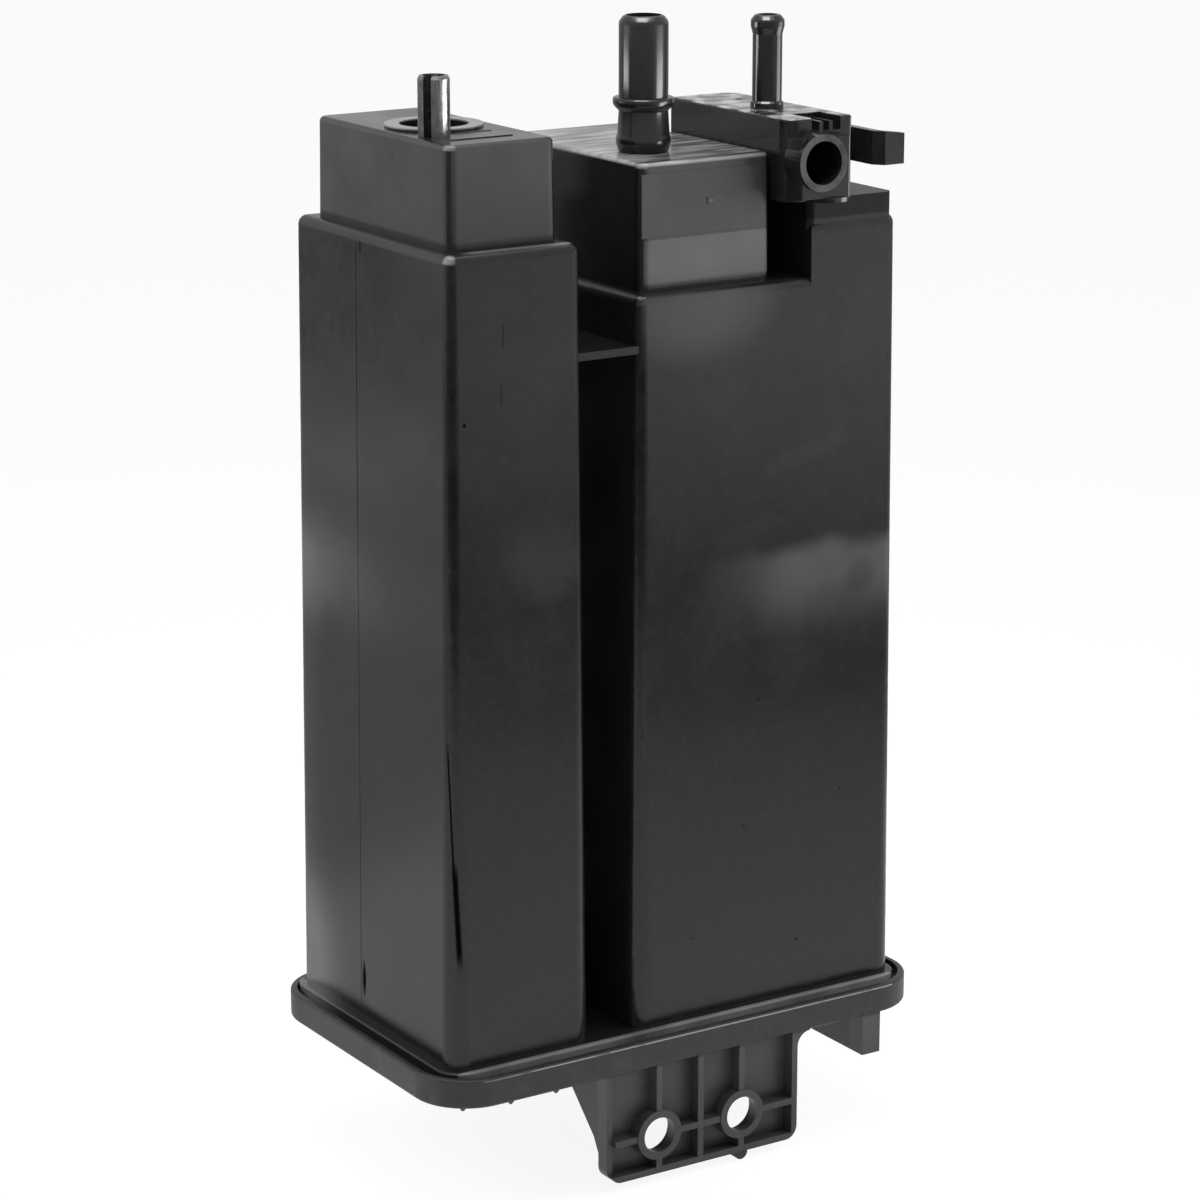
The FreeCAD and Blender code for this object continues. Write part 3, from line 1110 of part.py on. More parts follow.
def make_filling():
    """Pads, charcoal beds and retainer plates of both chambers."""
    low_pad, bed, tower_top, chamber_top = pad_levels()
    made = []

    def slab(name, low, high, outline):
        body = new_body(name)
        tapered(body, name.title().replace("_", ""), low, high, outline)
        made.append(body)
        return body

    slab("vent_filter_pad", f"{tower_top} - Sizes.top_pad", tower_top, inside(tower))
    slab("tower_charcoal_bed", bed, f"{tower_top} - Sizes.top_pad", inside(tower))
    slab("tower_lower_pad", low_pad, bed, inside(tower))
    slab("tank_filter_pad", f"{chamber_top} - Sizes.top_pad", chamber_top,
         lambda height: tank_edge(height, "Sizes.fit_gap"))
    column_top = column_ceiling()
    column_lean = "Sizes.column_height"
    slab("purge_filter_pad", f"{column_top} - Sizes.top_pad", column_top,
         lambda height: column_edge(column_lean, "Sizes.fit_gap"))

    charcoal = slab("chamber_charcoal_bed", bed, "Sizes.divider_low - Sizes.fit_gap", inside(chamber))
    tapered(charcoal, "TankSide", "Sizes.divider_low - Sizes.fit_gap", f"{chamber_top} - Sizes.top_pad",
            lambda height: tank_edge(height, "Sizes.fit_gap"))
    tapered(charcoal, "PurgeSide", "Sizes.divider_low - Sizes.fit_gap", f"{column_top} - Sizes.top_pad",
            lambda height: column_edge(column_lean, "Sizes.fit_gap"))
    slab("chamber_lower_pad", low_pad, bed, inside(chamber))

    plates = {
        "tower_retainer_plate": (tower, "Sizes.tower_width / 2", "Sizes.tower_hole_columns"),
        "chamber_retainer_plate": (chamber, "(Sizes.chamber_left + Sizes.body_width) / 2",
                                   "Sizes.chamber_hole_columns"),
    }
    for name, (outline, middle, columns) in plates.items():
        plate = slab(name, "Sizes.plate_height", low_pad, inside(outline))
        for spring, (x, y) in spring_places().items():
            if spring.split("_")[0] != name.split("_")[0]:
                continue
            seat = sketch_on(plate, f"Seat_{spring}", "XY_Plane", x, y,
                             "Sizes.plate_height + Sizes.plate / 2")
            draw_circle(seat, seat_dia())
            pad(seat, "Sizes.plate / 2 + Sizes.seat_ring_height", flipped=True)
        perforate(plate, middle, columns)
    return made


def perforate(plate, middle, columns):
    """Rows of holes through a retainer plate and its spring seats."""
    half_wide = f"({columns} - 1) / 2 * Sizes.plate_hole_pitch"
    half_long = "(Sizes.hole_rows - 1) / 2 * Sizes.plate_hole_pitch"
    hole = sketch_on(plate, "AirHole", "XY_Plane", f"{middle} - {half_wide}",
                     f"Sizes.body_depth / 2 - {half_long}", "Sizes.plate_height + Sizes.plate")
    draw_circle(hole, "Sizes.plate_hole_dia")
    first = pad(hole, "Sizes.plate + 2 * Sizes.seat_ring_height", taken_away=True)
    doc.recompute()
    rows = plate.newObject("PartDesign::LinearPattern", "AirHoles")
    rows.Originals = [first]
    rows.Direction = (hole, ["H_Axis"])
    rows.Direction2 = (hole, ["V_Axis"])
    bind(rows, {
        "Length": f"2 * {half_wide}",
        "Occurrences": columns,
        "Length2": f"2 * {half_long}",
        "Occurrences2": "Sizes.hole_rows",
    })
    plate.Tip = rows


def make_springs():
    """The coil springs between the cover and the retainer plates."""
    floor = "-Sizes.cover_depth + Sizes.cover_floor"
    made = []
    for name, (x, y) in spring_places().items():
        coil = doc.addObject("Part::Helix", f"{name}_line")
        bind(coil, {
            "Radius": "(Sizes.spring_dia - Sizes.spring_wire) / 2",
            "Height": f"Sizes.plate_height - ({floor}) - Sizes.spring_wire",
            "Pitch": f"(Sizes.plate_height - ({floor}) - Sizes.spring_wire) / Sizes.spring_turns",
        })
        wire = doc.addObject("Part::RegularPolygon", f"{name}_wire")
        wire.Polygon = 8
        bind(wire, {
            "Circumradius": "Sizes.spring_wire / 2",
            "Placement.Base.x": "(Sizes.spring_dia - Sizes.spring_wire) / 2",
        })
        wire.Placement.Rotation = FreeCAD.Rotation(FreeCAD.Vector(1, 0, 0), 90)
        spring = doc.addObject("Part::Sweep", name)
        spring.Sections = [wire]
        spring.Spine = (coil, ["Edge1"])
        spring.Solid = True
        spring.Frenet = True
        spring.Label = name
        bind(spring, {
            "Placement.Base.x": f"{x} - Sizes.bracket_centre",
            "Placement.Base.y": f"{y} + Sizes.boss_front",
            "Placement.Base.z": f"Sizes.bolt_drop + {floor} + Sizes.spring_wire / 2",
        })
        made.append(spring)
    return made


nodes = [make_housing(), make_cover(), make_tank_port(), make_valve_duct(), make_pin()]
nodes += make_filling()
nodes += make_springs()
doc.recompute()

for item in doc.Objects:
    if "Invalid" in item.State or "Error" in item.State:
        raise RuntimeError(f"{item.Name} could not be built: {item.State}")
for node in nodes:
    if node.Shape.isNull() or not node.Shape.isValid():
        raise RuntimeError(f"{node.Label} has no valid shape")

os.makedirs("parts", exist_ok=True)
for node in nodes:
    node.Shape.exportStep(os.path.join("parts", f"{node.Label}.step"))
    print(f"{node.Label}: {node.Shape.Volume / 1000:.1f} cm3, {len(node.Shape.Solids)} solid(s)")
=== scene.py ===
"""Charcoal canister: finishes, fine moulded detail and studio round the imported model."""
import json
import math

import bmesh
import bpy
from mathutils import Matrix, Vector

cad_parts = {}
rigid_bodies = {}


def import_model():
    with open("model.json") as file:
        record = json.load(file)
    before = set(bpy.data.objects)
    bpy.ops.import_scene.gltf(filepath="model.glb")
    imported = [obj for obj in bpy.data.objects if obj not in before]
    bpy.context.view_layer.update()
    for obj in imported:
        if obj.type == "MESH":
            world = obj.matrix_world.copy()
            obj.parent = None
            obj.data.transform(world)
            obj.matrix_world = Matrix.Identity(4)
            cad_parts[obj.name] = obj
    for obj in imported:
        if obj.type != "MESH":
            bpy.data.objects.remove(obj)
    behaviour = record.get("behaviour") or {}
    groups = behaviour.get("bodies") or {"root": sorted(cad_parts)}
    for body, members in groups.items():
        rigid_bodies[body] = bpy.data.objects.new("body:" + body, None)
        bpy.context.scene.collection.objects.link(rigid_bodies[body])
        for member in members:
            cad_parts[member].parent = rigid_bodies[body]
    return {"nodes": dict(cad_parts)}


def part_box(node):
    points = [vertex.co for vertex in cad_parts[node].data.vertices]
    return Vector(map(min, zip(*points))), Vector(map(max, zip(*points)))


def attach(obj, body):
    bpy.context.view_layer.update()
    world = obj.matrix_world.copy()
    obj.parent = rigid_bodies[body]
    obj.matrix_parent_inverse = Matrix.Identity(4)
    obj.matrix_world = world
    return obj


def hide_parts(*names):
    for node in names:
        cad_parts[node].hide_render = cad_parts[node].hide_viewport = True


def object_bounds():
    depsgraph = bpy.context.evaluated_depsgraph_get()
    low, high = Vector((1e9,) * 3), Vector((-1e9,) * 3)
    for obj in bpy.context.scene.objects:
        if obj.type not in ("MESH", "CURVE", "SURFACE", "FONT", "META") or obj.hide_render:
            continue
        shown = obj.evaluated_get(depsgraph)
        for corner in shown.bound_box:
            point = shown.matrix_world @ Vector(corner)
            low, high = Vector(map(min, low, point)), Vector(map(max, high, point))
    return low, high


for left_over in list(bpy.data.objects):
    bpy.data.objects.remove(left_over)

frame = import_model()

bl_info = {
    "name": "Charcoal Canister",
    "version": (1, 0, 0),
    "blender": (4, 5, 0),
    "location": "View3D > Sidebar > Canister",
    "description": "Finishes, moulded detail and studio for a charcoal canister",
    "category": "Object",
}

MM = 0.001
FLANGE_OUT = 2.5 * MM
FLANGE_THICK = 4.0 * MM
CAD_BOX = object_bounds()
HOUSING_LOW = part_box("housing")[0]
# The housing's front left foot; every place below is in millimetres from there
FOOT = HOUSING_LOW + Vector((FLANGE_OUT, FLANGE_OUT, FLANGE_THICK))

# How far the walls lean in for each millimetre of height
DRAFT = 0.01
# Walls that stand in from the foot's own, carried down to the foot
BOX_FRONT = 6.4
VENT_FRONT = 6.8
VENT_LEFT = 4.2
# The heights over which the parting line, the panel on the tank box and the gate mark run
PARTING_HEIGHTS = (2.0, 258.4)
PANEL_HEIGHTS = (259.4, 279.6)
GATE_HEIGHTS = (268.4, 270.6)

# The tank port's half section, as radius and height, and the rings of it that are round
PORT_PLACE = (93.3, 33.4, 0.0)
PORT_SECTION = [
    (5.7, 280.3), (7.1, 280.3), (7.1, 282.9), (7.91, 282.9), (8.8, 285.5), (8.8, 287.2),
    (8.35, 288.5), (7.91, 295.91), (9.8, 297.8), (9.8, 300.2), (7.91, 300.2), (7.91, 324.0),
    (6.31, 326.0), (5.7, 326.0)]
PORT_ROUNDS = [(8.8, 285.5), (8.8, 287.2), (9.8, 297.8), (9.8, 300.2), (7.91, 324.0),
               (6.31, 326.0)]
PORT_ROUNDING = 0.7
# A nib under the cover's rim, as radius and height, and where the nibs stand
NIB_SECTION = [(0.0, 0.4), (0.0, -1.2), (0.5, -1.0), (1.2, 0.0), (1.2, 0.4)]
NIB_PLACES = [(1.2, -3.9), (17.0, -7.2), (34.0, -7.2)]
RIM_FOOT = -10.4

# Tones of the painted sheen and scuffs, the painted highlights and the stains with painted shade,
# and the sizes in millimetres of what varies on a moulded face
PAINTED_SHEEN_AND_SCUFF_TONE = 0.14
PAINTED_GLINT_TONE = 0.5
STAIN_AND_SHADE_TONE = 0.004
SINK_SIZE = 55.0
CLOUD_SIZE = 24.0
MOTTLE_SIZE = 3.2
SPARK_SIZE = 0.35
# Dark marks: middle, reach and depth on the walls, and start, end and width of the scratches
LEFT_STAINS = [((57.2, 14.0), (1.6, 8.0), 1.0), ((56.6, 257.0), (1.4, 2.6), 0.5)]
FRONT_DOTS = [
    ((7.7, 209.3), 0.9, 1.0), ((117.6, 105.1), 0.8, 0.5), ((112.1, 62.4), 0.7, 0.5),
    ((91.8, 27.3), 0.7, 0.5), ((133.4, 19.1), 0.8, 0.5), ((151.0, 69.1), 0.7, 0.5)]
FRONT_SCRATCHES = [((21.9, 240.0), (21.8, 231.0), 0.5), ((21.0, 222.0), (21.0, 213.0), 0.5)]
FRONT_SCRATCH_DEPTH = 0.4
CORNER_SCRATCHES = [((-2.6, 112.0), (0.4, 62.0), 0.7), ((0.2, 72.0), (2.8, 32.0), 1.9)]
# Painted highlights on rounded corners: middle, lowest and highest point
PAINTED_CORNER_GLINTS = [((3.9, 4.1), 258.8, 261.7), ((8.4, 11.0), 292.0, 293.9),
                 ((77.8, 10.7), 281.0, 283.0)]

# The camera: what it looks at, its turn and tilt in degrees, and its distance in metres
CAMERA_TARGET = (84.356, 45.0, 133.524)
CAMERA_TURN = 32.686
CAMERA_TILT = 15.033
CAMERA_AWAY = 1.251183
CAMERA_LENS = 113.83
CAMERA_SENSOR = 36.0

# Ways on the floor, in degrees: to the camera, and to what the front and left walls mirror
TO_CAMERA = 180.0 - CAMERA_TURN
FRONT_MIRROR = 180.0 + CAMERA_TURN
LEFT_MIRROR = CAMERA_TURN
# Cards that glow, seen only in the gloss, standing in for how brightly the floor is lit: name,
# glow strength, near and far end and width in metres, and the way they lie
CARDS = [
    ("flag", 0.01, 0.69, 2.2, 3.2, TO_CAMERA),
    ("camera_card", 0.75, -0.1, 0.66, 1.1, TO_CAMERA),
    ("front_card", 0.2, 0.52, 1.06, 1.2, FRONT_MIRROR),
    ("middle_card", 0.6, 0.35, 0.51, 1.0, FRONT_MIRROR),
    ("near_card", 0.9, -0.12, 0.34, 0.8, FRONT_MIRROR),
    ("far_card", 1.0, 1.12, 2.4, 1.6, FRONT_MIRROR),
    ("far_left_card", 0.75, 1.04, 1.27, 1.2, LEFT_MIRROR),
    ("far_left_flag", 0.2, 1.27, 2.6, 1.8, LEFT_MIRROR),
]
# The canister's middle in plan, and the heights of its body's and its ports' middles
MIDDLE = (85.0, 50.0)
BODY_HEIGHT = 150.0
PORTS_HEIGHT = 330.0
OVERHEAD_PLACE = (0.0, 0.1, 1.3)
OVERHEAD_SIZE = (1.0, 1.0)
# Fills without gloss: their way from the body's middle in metres, their size and their power
FILLS = {"left_fill": (-0.364, 0.21, 0.158), "right_fill": (0.36, -0.22, 0.158)}
FILL_SIZE = (0.3, 0.3)
FILL_POWER = 1.7
# Boxes that light some pieces: name, way from the ports in metres, size, power and pieces
PORT_BOXES = [
    ("port_left_box", (-0.364, 0.21, -0.135), (0.24, 0.18), 1.1, ("port", "duct")),
    ("port_right_box", (0.307, -0.287, -0.135), (0.26, 0.18), 1.5, ("port", "pin")),
    ("duct_right_box", (0.38, -0.18, -0.135), (0.24, 0.18), 0.6, ("duct",)),
    ("port_top_box", (-0.1, -0.1, 0.6), (0.4, 0.4), 6.0, ("port", "duct", "pin")),
]
CARD_HEIGHT = 3.0 * MM
FLOOR_RADIUS = 12.0
FLOOR_GAP = 0.4 * MM
# Strengths of the floor's own glow, and what the camera sees on top of it
FLOOR_GLOW = 0.4
FLOOR_GLOW_SEEN = 0.5
FLOOR_SHADOW_TONE = 0.15
# Strengths of the world: its light, and what reflections and the camera see on top of it
WORLD_LIGHT = 0.35
WORLD_MIRRORED = 0.25
WORLD_SEEN = 0.4


def at(x, y, z):
    """A place measured in millimetres from the housing's front left foot."""
    return FOOT + Vector((x, y, z)) * MM


class Shade:
    """A shader value that Python arithmetic can use; each operator adds its Math node."""

    def __init__(self, tree, socket):
        self.tree = tree
        self.socket = socket

    def maths(self, operation, *others):
        """A Math node of this value and the others."""
        sockets = dict(enumerate((self, *others)))
        return self.tree.value("ShaderNodeMath", {"operation": operation}, sockets)

    def __add__(self, other):
        return self.maths("ADD", other)

    __radd__ = __add__

    def __sub__(self, other):
        return self.maths("SUBTRACT", other)

    def __rsub__(self, other):
        return (self * -1) + other

    def __mul__(self, other):
        return self.maths("MULTIPLY", other)

    def __truediv__(self, other):
        return self.maths("DIVIDE", other)

    def ramp(self, low, high, start=0.0, end=1.0):
        """This value carried smoothly from low..high to start..end."""
        return self.tree.value(
            "ShaderNodeMapRange", {"interpolation_type": "SMOOTHSTEP"},
            {"Value": self, "From Min": low, "From Max": high, "To Min": start, "To Max": end})

    def between(self, low, full_low, full_high, high):
        """1 from full_low to full_high, falling smoothly to 0 at low and at high."""
        return self.ramp(low, full_low) * self.ramp(full_high, high, 1.0, 0.0)


class Tree:
    """A node tree that is written as expressions."""

    def __init__(self, tree):
        self.tree = tree
        tree.nodes.clear()

    def add(self, kind, settings=None, sockets=None):
        """Add a node: its settings first, then the values or links of its sockets."""
        node = self.tree.nodes.new(kind)
        for name, value in (settings or {}).items():
            setattr(node, name, value)
        for key, value in (sockets or {}).items():
            if isinstance(value, Shade):
                self.tree.links.new(value.socket, node.inputs[key])
            else:
                node.inputs[key].default_value = value
        return node

    def value(self, kind, settings=None, sockets=None, output=0):
        """Add a node and give one of its outputs."""
        return Shade(self, self.add(kind, settings, sockets).outputs[output])

    def vector(self, operation, *terms):
        """A Vector Math node."""
        return self.value("ShaderNodeVectorMath", {"operation": operation},
                          dict(enumerate(terms)), "Vector")

    def mix(self, factor, first, second):
        """A mix of two colours."""
        return self.value("ShaderNodeMix", {"data_type": "RGBA"},
                          {"Factor": factor, "A": first, "B": second}, "Result")

    def noise(self, place, size, detail=2.0, rough=0.5):
        """Noise whose features are about size millimetres across."""
        return self.value("ShaderNodeTexNoise", None,
                          {"Vector": place, "Scale": 1.0 / size, "Detail": detail,
                           "Roughness": rough}, "Fac")

    def bump(self, height):
        """The normal of a surface that is this many millimetres high."""
        return self.value("ShaderNodeBump", None,
                          {"Strength": 1.0, "Distance": MM, "Height": height}, "Normal")

    def surface(self, shader):
        """Give the material its shader."""
        self.add("ShaderNodeOutputMaterial", None, {"Surface": shader})

    def place(self):
        """Places on the piece, in millimetres from the housing's front left foot."""
        spot = self.value("ShaderNodeTexCoord", None, None, "Object")
        return self.vector("MULTIPLY_ADD", spot, (1 / MM,) * 3, tuple(FOOT / -MM))

    def parts(self, place):
        """The three distances of a place."""
        node = self.add("ShaderNodeSeparateXYZ", None, {0: place})
        return [Shade(self, node.outputs[index]) for index in range(3)]

    def patch(self, across, up, middle, reach):
        """A soft round patch on a face: 1 in its middle, 0 beyond its reach."""
        aside = (across - middle[0]) / reach[0]
        above = (up - middle[1]) / reach[1]
        return (aside * aside + above * above).ramp(0.0, 1.0, 1.0, 0.0)

    def scratch(self, across, up, start, end, width):
        """A thin mark between two places on a face, 1 along it."""
        run = Vector(end) - Vector(start)
        length = run.length
        way = run / length
        aside = (across - start[0]) * way.y - (up - start[1]) * way.x
        along = (across - start[0]) * way.x + (up - start[1]) * way.y
        inside = along.between(0.0, 0.2 * length, 0.8 * length, length)
        return aside.maths("ABSOLUTE").ramp(0.3 * width, width, 1.0, 0.0) * inside


class CanisterSizes(bpy.types.PropertyGroup):
    """Sizes of the fine detail, in metres."""

    parting_line_place: bpy.props.FloatProperty(
        name="Parting line", description="Parting line from the housing's front wall",
        default=59.5 * MM, unit="LENGTH")
    parting_line_height: bpy.props.FloatProperty(
        name="Parting line height", description="How far the parting line stands proud",
        default=0.12 * MM, unit="LENGTH")


class CanisterFinishes(bpy.types.PropertyGroup):
    """Colours of the finishes."""

    housing_tone: bpy.props.FloatProperty(
        name="Housing tone", description="Lightness of the black housing",
        default=0.014, min=0.0, max=1.0, subtype="FACTOR")
    cover_tone: bpy.props.FloatProperty(
        name="Cover tone", description="Lightness of the bottom cover",
        default=0.026, min=0.0, max=1.0, subtype="FACTOR")
    port_tone: bpy.props.FloatProperty(
        name="Port tone", description="Lightness of the ports and the valve duct",
        default=0.010, min=0.0, max=1.0, subtype="FACTOR")
    steel_tone: bpy.props.FloatProperty(
        name="Steel tone", description="Lightness of the locating pin",
        default=0.30, min=0.0, max=1.0, subtype="FACTOR")


class StudioSettings(bpy.types.PropertyGroup):
    """The studio round the canister."""

    floor_tone: bpy.props.FloatProperty(
        name="Floor tone", description="Lightness of the floor",
        default=0.8, min=0.0, max=1.0, subtype="FACTOR")
    key_power: bpy.props.FloatProperty(
        name="Overhead softbox", description="Power of the overhead softbox",
        default=7.0, min=0.0, unit="POWER")


def tint(value, warm=0.0):
    """A nearly grey colour."""
    return (value * (1 + warm), value, value * (1 - warm), 1.0)


def new_material(name):
    """A material and its empty node tree."""
    material = bpy.data.materials.new(name)
    material.use_nodes = True
    return material, Tree(material.node_tree)


def finish_plastic(name, tone, gloss, wave=0.25, grain=0.012, marks=None):
    """Black moulded plastic: mottled tone, uneven gloss, sink waves and fine spark grain.

    marks is a function that gives the painted sheen and scuffs, the stains with painted shade, and
    the painted highlights at a place.
    """
    material, tree = new_material(name)
    place = tree.place()
    sinks = tree.noise(place, SINK_SIZE, 1.0)
    cloud = tree.noise(place, CLOUD_SIZE, 3.0)
    mottle = tree.noise(place, MOTTLE_SIZE, 4.0, 0.6)
    spark = tree.noise(place, SPARK_SIZE, 2.0)
    colour = tree.mix(mottle.ramp(0.3, 0.7), tint(tone * 0.85), tint(tone * 1.15))
    rough = cloud.ramp(0.3, 0.7, gloss - 0.04, gloss + 0.04) + mottle * 0.05 - 0.025
    if marks:
        sheen_and_scuff, darkening, painted_glint = marks(tree, place)
        # Painted sheen: a lighter tone mixed in where reflections would fall; on the cover it also
        # lightens the scuffs
        cover = sheen_and_scuff * cloud.ramp(0.2, 0.8, 0.75, 1.0)
        colour = tree.mix(cover, colour, tint(PAINTED_SHEEN_AND_SCUFF_TONE, 0.01))
        # Painted highlights: a pale tone mixed in for glints
        colour = tree.mix(painted_glint, colour, tint(PAINTED_GLINT_TONE))
    shader = tree.value(
        "ShaderNodeBsdfPrincipled", None,
        {"Base Color": colour, "Roughness": rough, "IOR": 1.5,
         "Normal": tree.bump(sinks * wave + mottle * 0.008 + spark * grain)})
    if marks:
        # Stains, and painted shade, as a matt near-black mixed into the shader
        matt = tree.value("ShaderNodeBsdfDiffuse", None, {"Color": tint(STAIN_AND_SHADE_TONE)})
        shader = tree.value("ShaderNodeMixShader", None, {0: darkening, 1: shader, 2: matt})
    tree.surface(shader)
    return material


def finish_metal(name, tone, gloss):
    """Oiled spring steel with drawn lines."""
    material, tree = new_material(name)
    place = tree.place()
    stretched = tree.vector("MULTIPLY", place, (1.0, 1.0, 0.08))
    lines = tree.noise(stretched, 0.5, 3.0)
    darkening = tree.noise(place, 3.0, 3.0)
    tree.surface(tree.value(
        "ShaderNodeBsdfPrincipled", None,
        {"Base Color": tree.mix(darkening.ramp(0.35, 0.7), tint(tone), tint(tone * 0.6, 0.03)),
         "Metallic": 1.0, "Normal": tree.bump(lines * 0.02),
         "Roughness": lines.ramp(0.3, 0.7, gloss - 0.08, gloss + 0.08)}))
    return material


def finish_grains(name, dark, light, size):
    """Packed granules, or foam with open pores."""
    material, tree = new_material(name)
    cells = tree.value("ShaderNodeTexVoronoi", {"feature": "F1"},
                       {"Vector": tree.place(), "Scale": 1.0 / size}, "Distance")
    # The colour darkens towards the cell edges: painted shade in the gaps between granules and in
    # the pores
    tree.surface(tree.value(
        "ShaderNodeBsdfPrincipled", None,
        {"Base Color": tree.mix(cells.ramp(0.1, 0.7), tint(light), tint(dark)),
         "Roughness": 0.85, "Normal": tree.bump(cells * (-0.5 * size))}))
    return material


def on_wall(across, height, stands):
    """1 on a leaning wall that stands this far in at the foot, 0 away from it."""
    return (across - height * DRAFT - stands).maths("ABSOLUTE").ramp(0.3, 0.8, 1.0, 0.0)


def left_painted_sheen(y, z, level):
    """Painted sheen: soft light patches on the tower's left wall, standing in for reflections."""
    band = level.between(118.0, 146.0, 150.0, 180.0)
    return (band * y.ramp(15.0, 95.0, 0.14, 0.42)
            + y.ramp(78.0, 104.0, 0.0, 0.30) * level.ramp(150.0, 175.0, 1.0, 0.15)
            + y.ramp(62.0, 104.0) * z.ramp(0.0, 60.0, 1.0, 0.0)
            + y.ramp(20.0, 80.0) * z.ramp(0.0, 160.0, 0.14, 0.0)
            + z.ramp(205.0, 262.0, 0.0, 0.20) * y.ramp(20.0, 60.0, 1.0, 0.1))


def front_painted_sheen(tree, x, z, level, drift):
    """Painted sheen on the front walls: soft light patches and faint light streaks standing in for
    reflections, and one slightly darker patch.
    """
    glow = level.between(112.0, 148.0, 150.0, 160.0)
    return (tree.patch(x + drift * 6.0, level, (36.0, 164.0), (22.0, 20.0)) * 0.24
            + glow * x.ramp(82.0, 136.0) * 0.58
            + tree.patch(x, z, (158.5, 141.8), (7.5, 7.0)) * -0.1
            + tree.patch(x, z, (92.0, 242.0), (42.0, 30.0)) * 0.42
            + tree.scratch(x, z, (96.0, 158.0), (130.0, 166.0), 5.0) * 0.10
            + tree.scratch(x, z, (116.0, 180.0), (156.0, 190.5), 5.0) * 0.12
            + level.ramp(150.0, 240.0, 0.0, 0.05) * x.ramp(70.0, 110.0)
            + z.ramp(0.0, 75.0, 0.05, 0.0))


def housing_stains_and_shade(tree, x, y, z, on_left, on_front):
    """The housing's dark dots and scratches, and a painted shade round the duct's plinth."""
    corner = sum(tree.scratch(x - y, z, *mark) for mark in CORNER_SCRATCHES)
    left = sum(tree.patch(y, z, middle, reach) * depth for middle, reach, depth in LEFT_STAINS)
    dots = sum(tree.patch(x, z, middle, (reach, reach)) * depth
               for middle, reach, depth in FRONT_DOTS)
    lines = sum(tree.scratch(x, z, *mark) for mark in FRONT_SCRATCHES)
    # Painted shade round the duct's plinth
    painted_plinth_shade = z.between(260.6, 261.4, 267.6, 268.2) * x.ramp(130.0, 136.0)
    darkening = (corner * x.ramp(9.0, 12.0, 1.0, 0.0) + left * on_left
             + (dots + lines * FRONT_SCRATCH_DEPTH) * on_front + painted_plinth_shade * 0.45)
    return darkening.maths("MINIMUM", 1.0)


def housing_painted_glints(tree, place, box_top, box_front):
    """Painted highlights and reflections: the housing's bright edges, corners and streaks, and a
    light line along its weld flange.
    """
    x, y, z = tree.parts(place)
    streaks = tree.noise(tree.vector("MULTIPLY", place, (0.25, 1.6, 1.0)), 6.0, 3.0)
    top = box_top * (streaks.ramp(0.38, 0.65, 0.08, 0.72) + x.ramp(78.0, 94.0, 0.3, 0.0))
    # Painted highlights on the vent ring, the weld flange, the ledge, the tank box's rounding, the
    # corners and the gate mark
    vent_ring = z.ramp(294.2, 294.5) * x.ramp(53.0, 54.0, 0.5, 0.0)
    flange_glint_strength = tree.noise(place, 30.0, 2.0).ramp(0.3, 0.6, 0.16, 0.38)
    flange = z.ramp(0.1, 0.4, 1.0, 0.0) * y.ramp(-1.2, -0.6, 1.0, 0.0) * flange_glint_strength
    ledge = z.between(261.2, 261.6, 262.2, 262.6) * y.ramp(6.8, 7.4, 1.0, 0.0)
    rounding = z.between(281.5, 282.0, 282.5, 282.8) * x.between(70.0, 74.0, 126.0, 127.0)
    corners = sum(
        tree.patch(x, y, middle, (2.4, 2.4)) * z.ramp(low, low + 0.6)
        * z.ramp(high - 0.5, high, 0.5, 0.2) for middle, low, high in PAINTED_CORNER_GLINTS)
    gate = tree.patch(x, z, (102.5, 269.5), (1.6, 1.3)) * box_front
    return (top + vent_ring + flange + ledge * x.between(8.0, 14.0, 50.0, 52.0) * 0.4
            + rounding * 0.28 + corners + gate * 0.35)


def housing_marks(tree, place):
    """Painted sheen, stains with painted shade, and painted highlights on the housing's left and
    front walls and on its boxes.
    """
    x, y, z = tree.parts(place)
    drift = tree.noise(place, 30.0, 2.0) - 0.5
    level = z + drift * 14.0
    on_left = (x - z * DRAFT).ramp(0.4, 1.2, 1.0, 0.0)
    on_front = (y - z * DRAFT).ramp(0.4, 1.2, 1.0, 0.0)
    box_front = on_wall(y, z, BOX_FRONT) * x.between(76.0, 77.0, 125.0, 127.0)
    # A strip along the tank top's front edge gets less painted sheen and painted highlight
    dark_band = y.between(10.4, 11.2, 12.6, 14.6) * 0.9
    box_top = z.ramp(281.6, 282.6) * x.between(70.0, 74.0, 126.0, 127.0) * (1.0 - dark_band)
    vent_high = z.ramp(262.5, 264.5)
    vent_front = on_wall(y, z, VENT_FRONT) * x.ramp(52.0, 54.0, 1.0, 0.0) * vent_high
    vent_left = on_wall(x, z, VENT_LEFT) * vent_high
    below_panel = z.between(243.0, 246.0, 258.4, 258.9)
    # Painted sheen: a lighter tone on the tank box, the vent box and the walls, standing in for
    # reflections
    sheen_and_scuff = (box_top * 0.4 + box_front * (z.ramp(243.0, 246.0) * 0.5 + below_panel * 0.42)
            + vent_front * z.ramp(264.0, 290.0, 0.38, 0.52) + vent_left * 0.32
            + left_painted_sheen(y, z, level) * on_left
            + front_painted_sheen(tree, x, z, level, drift) * on_front)
    return (sheen_and_scuff.ramp(0.0, 1.0), housing_stains_and_shade(tree, x, y, z, on_left, on_front),
            housing_painted_glints(tree, place, box_top, box_front))


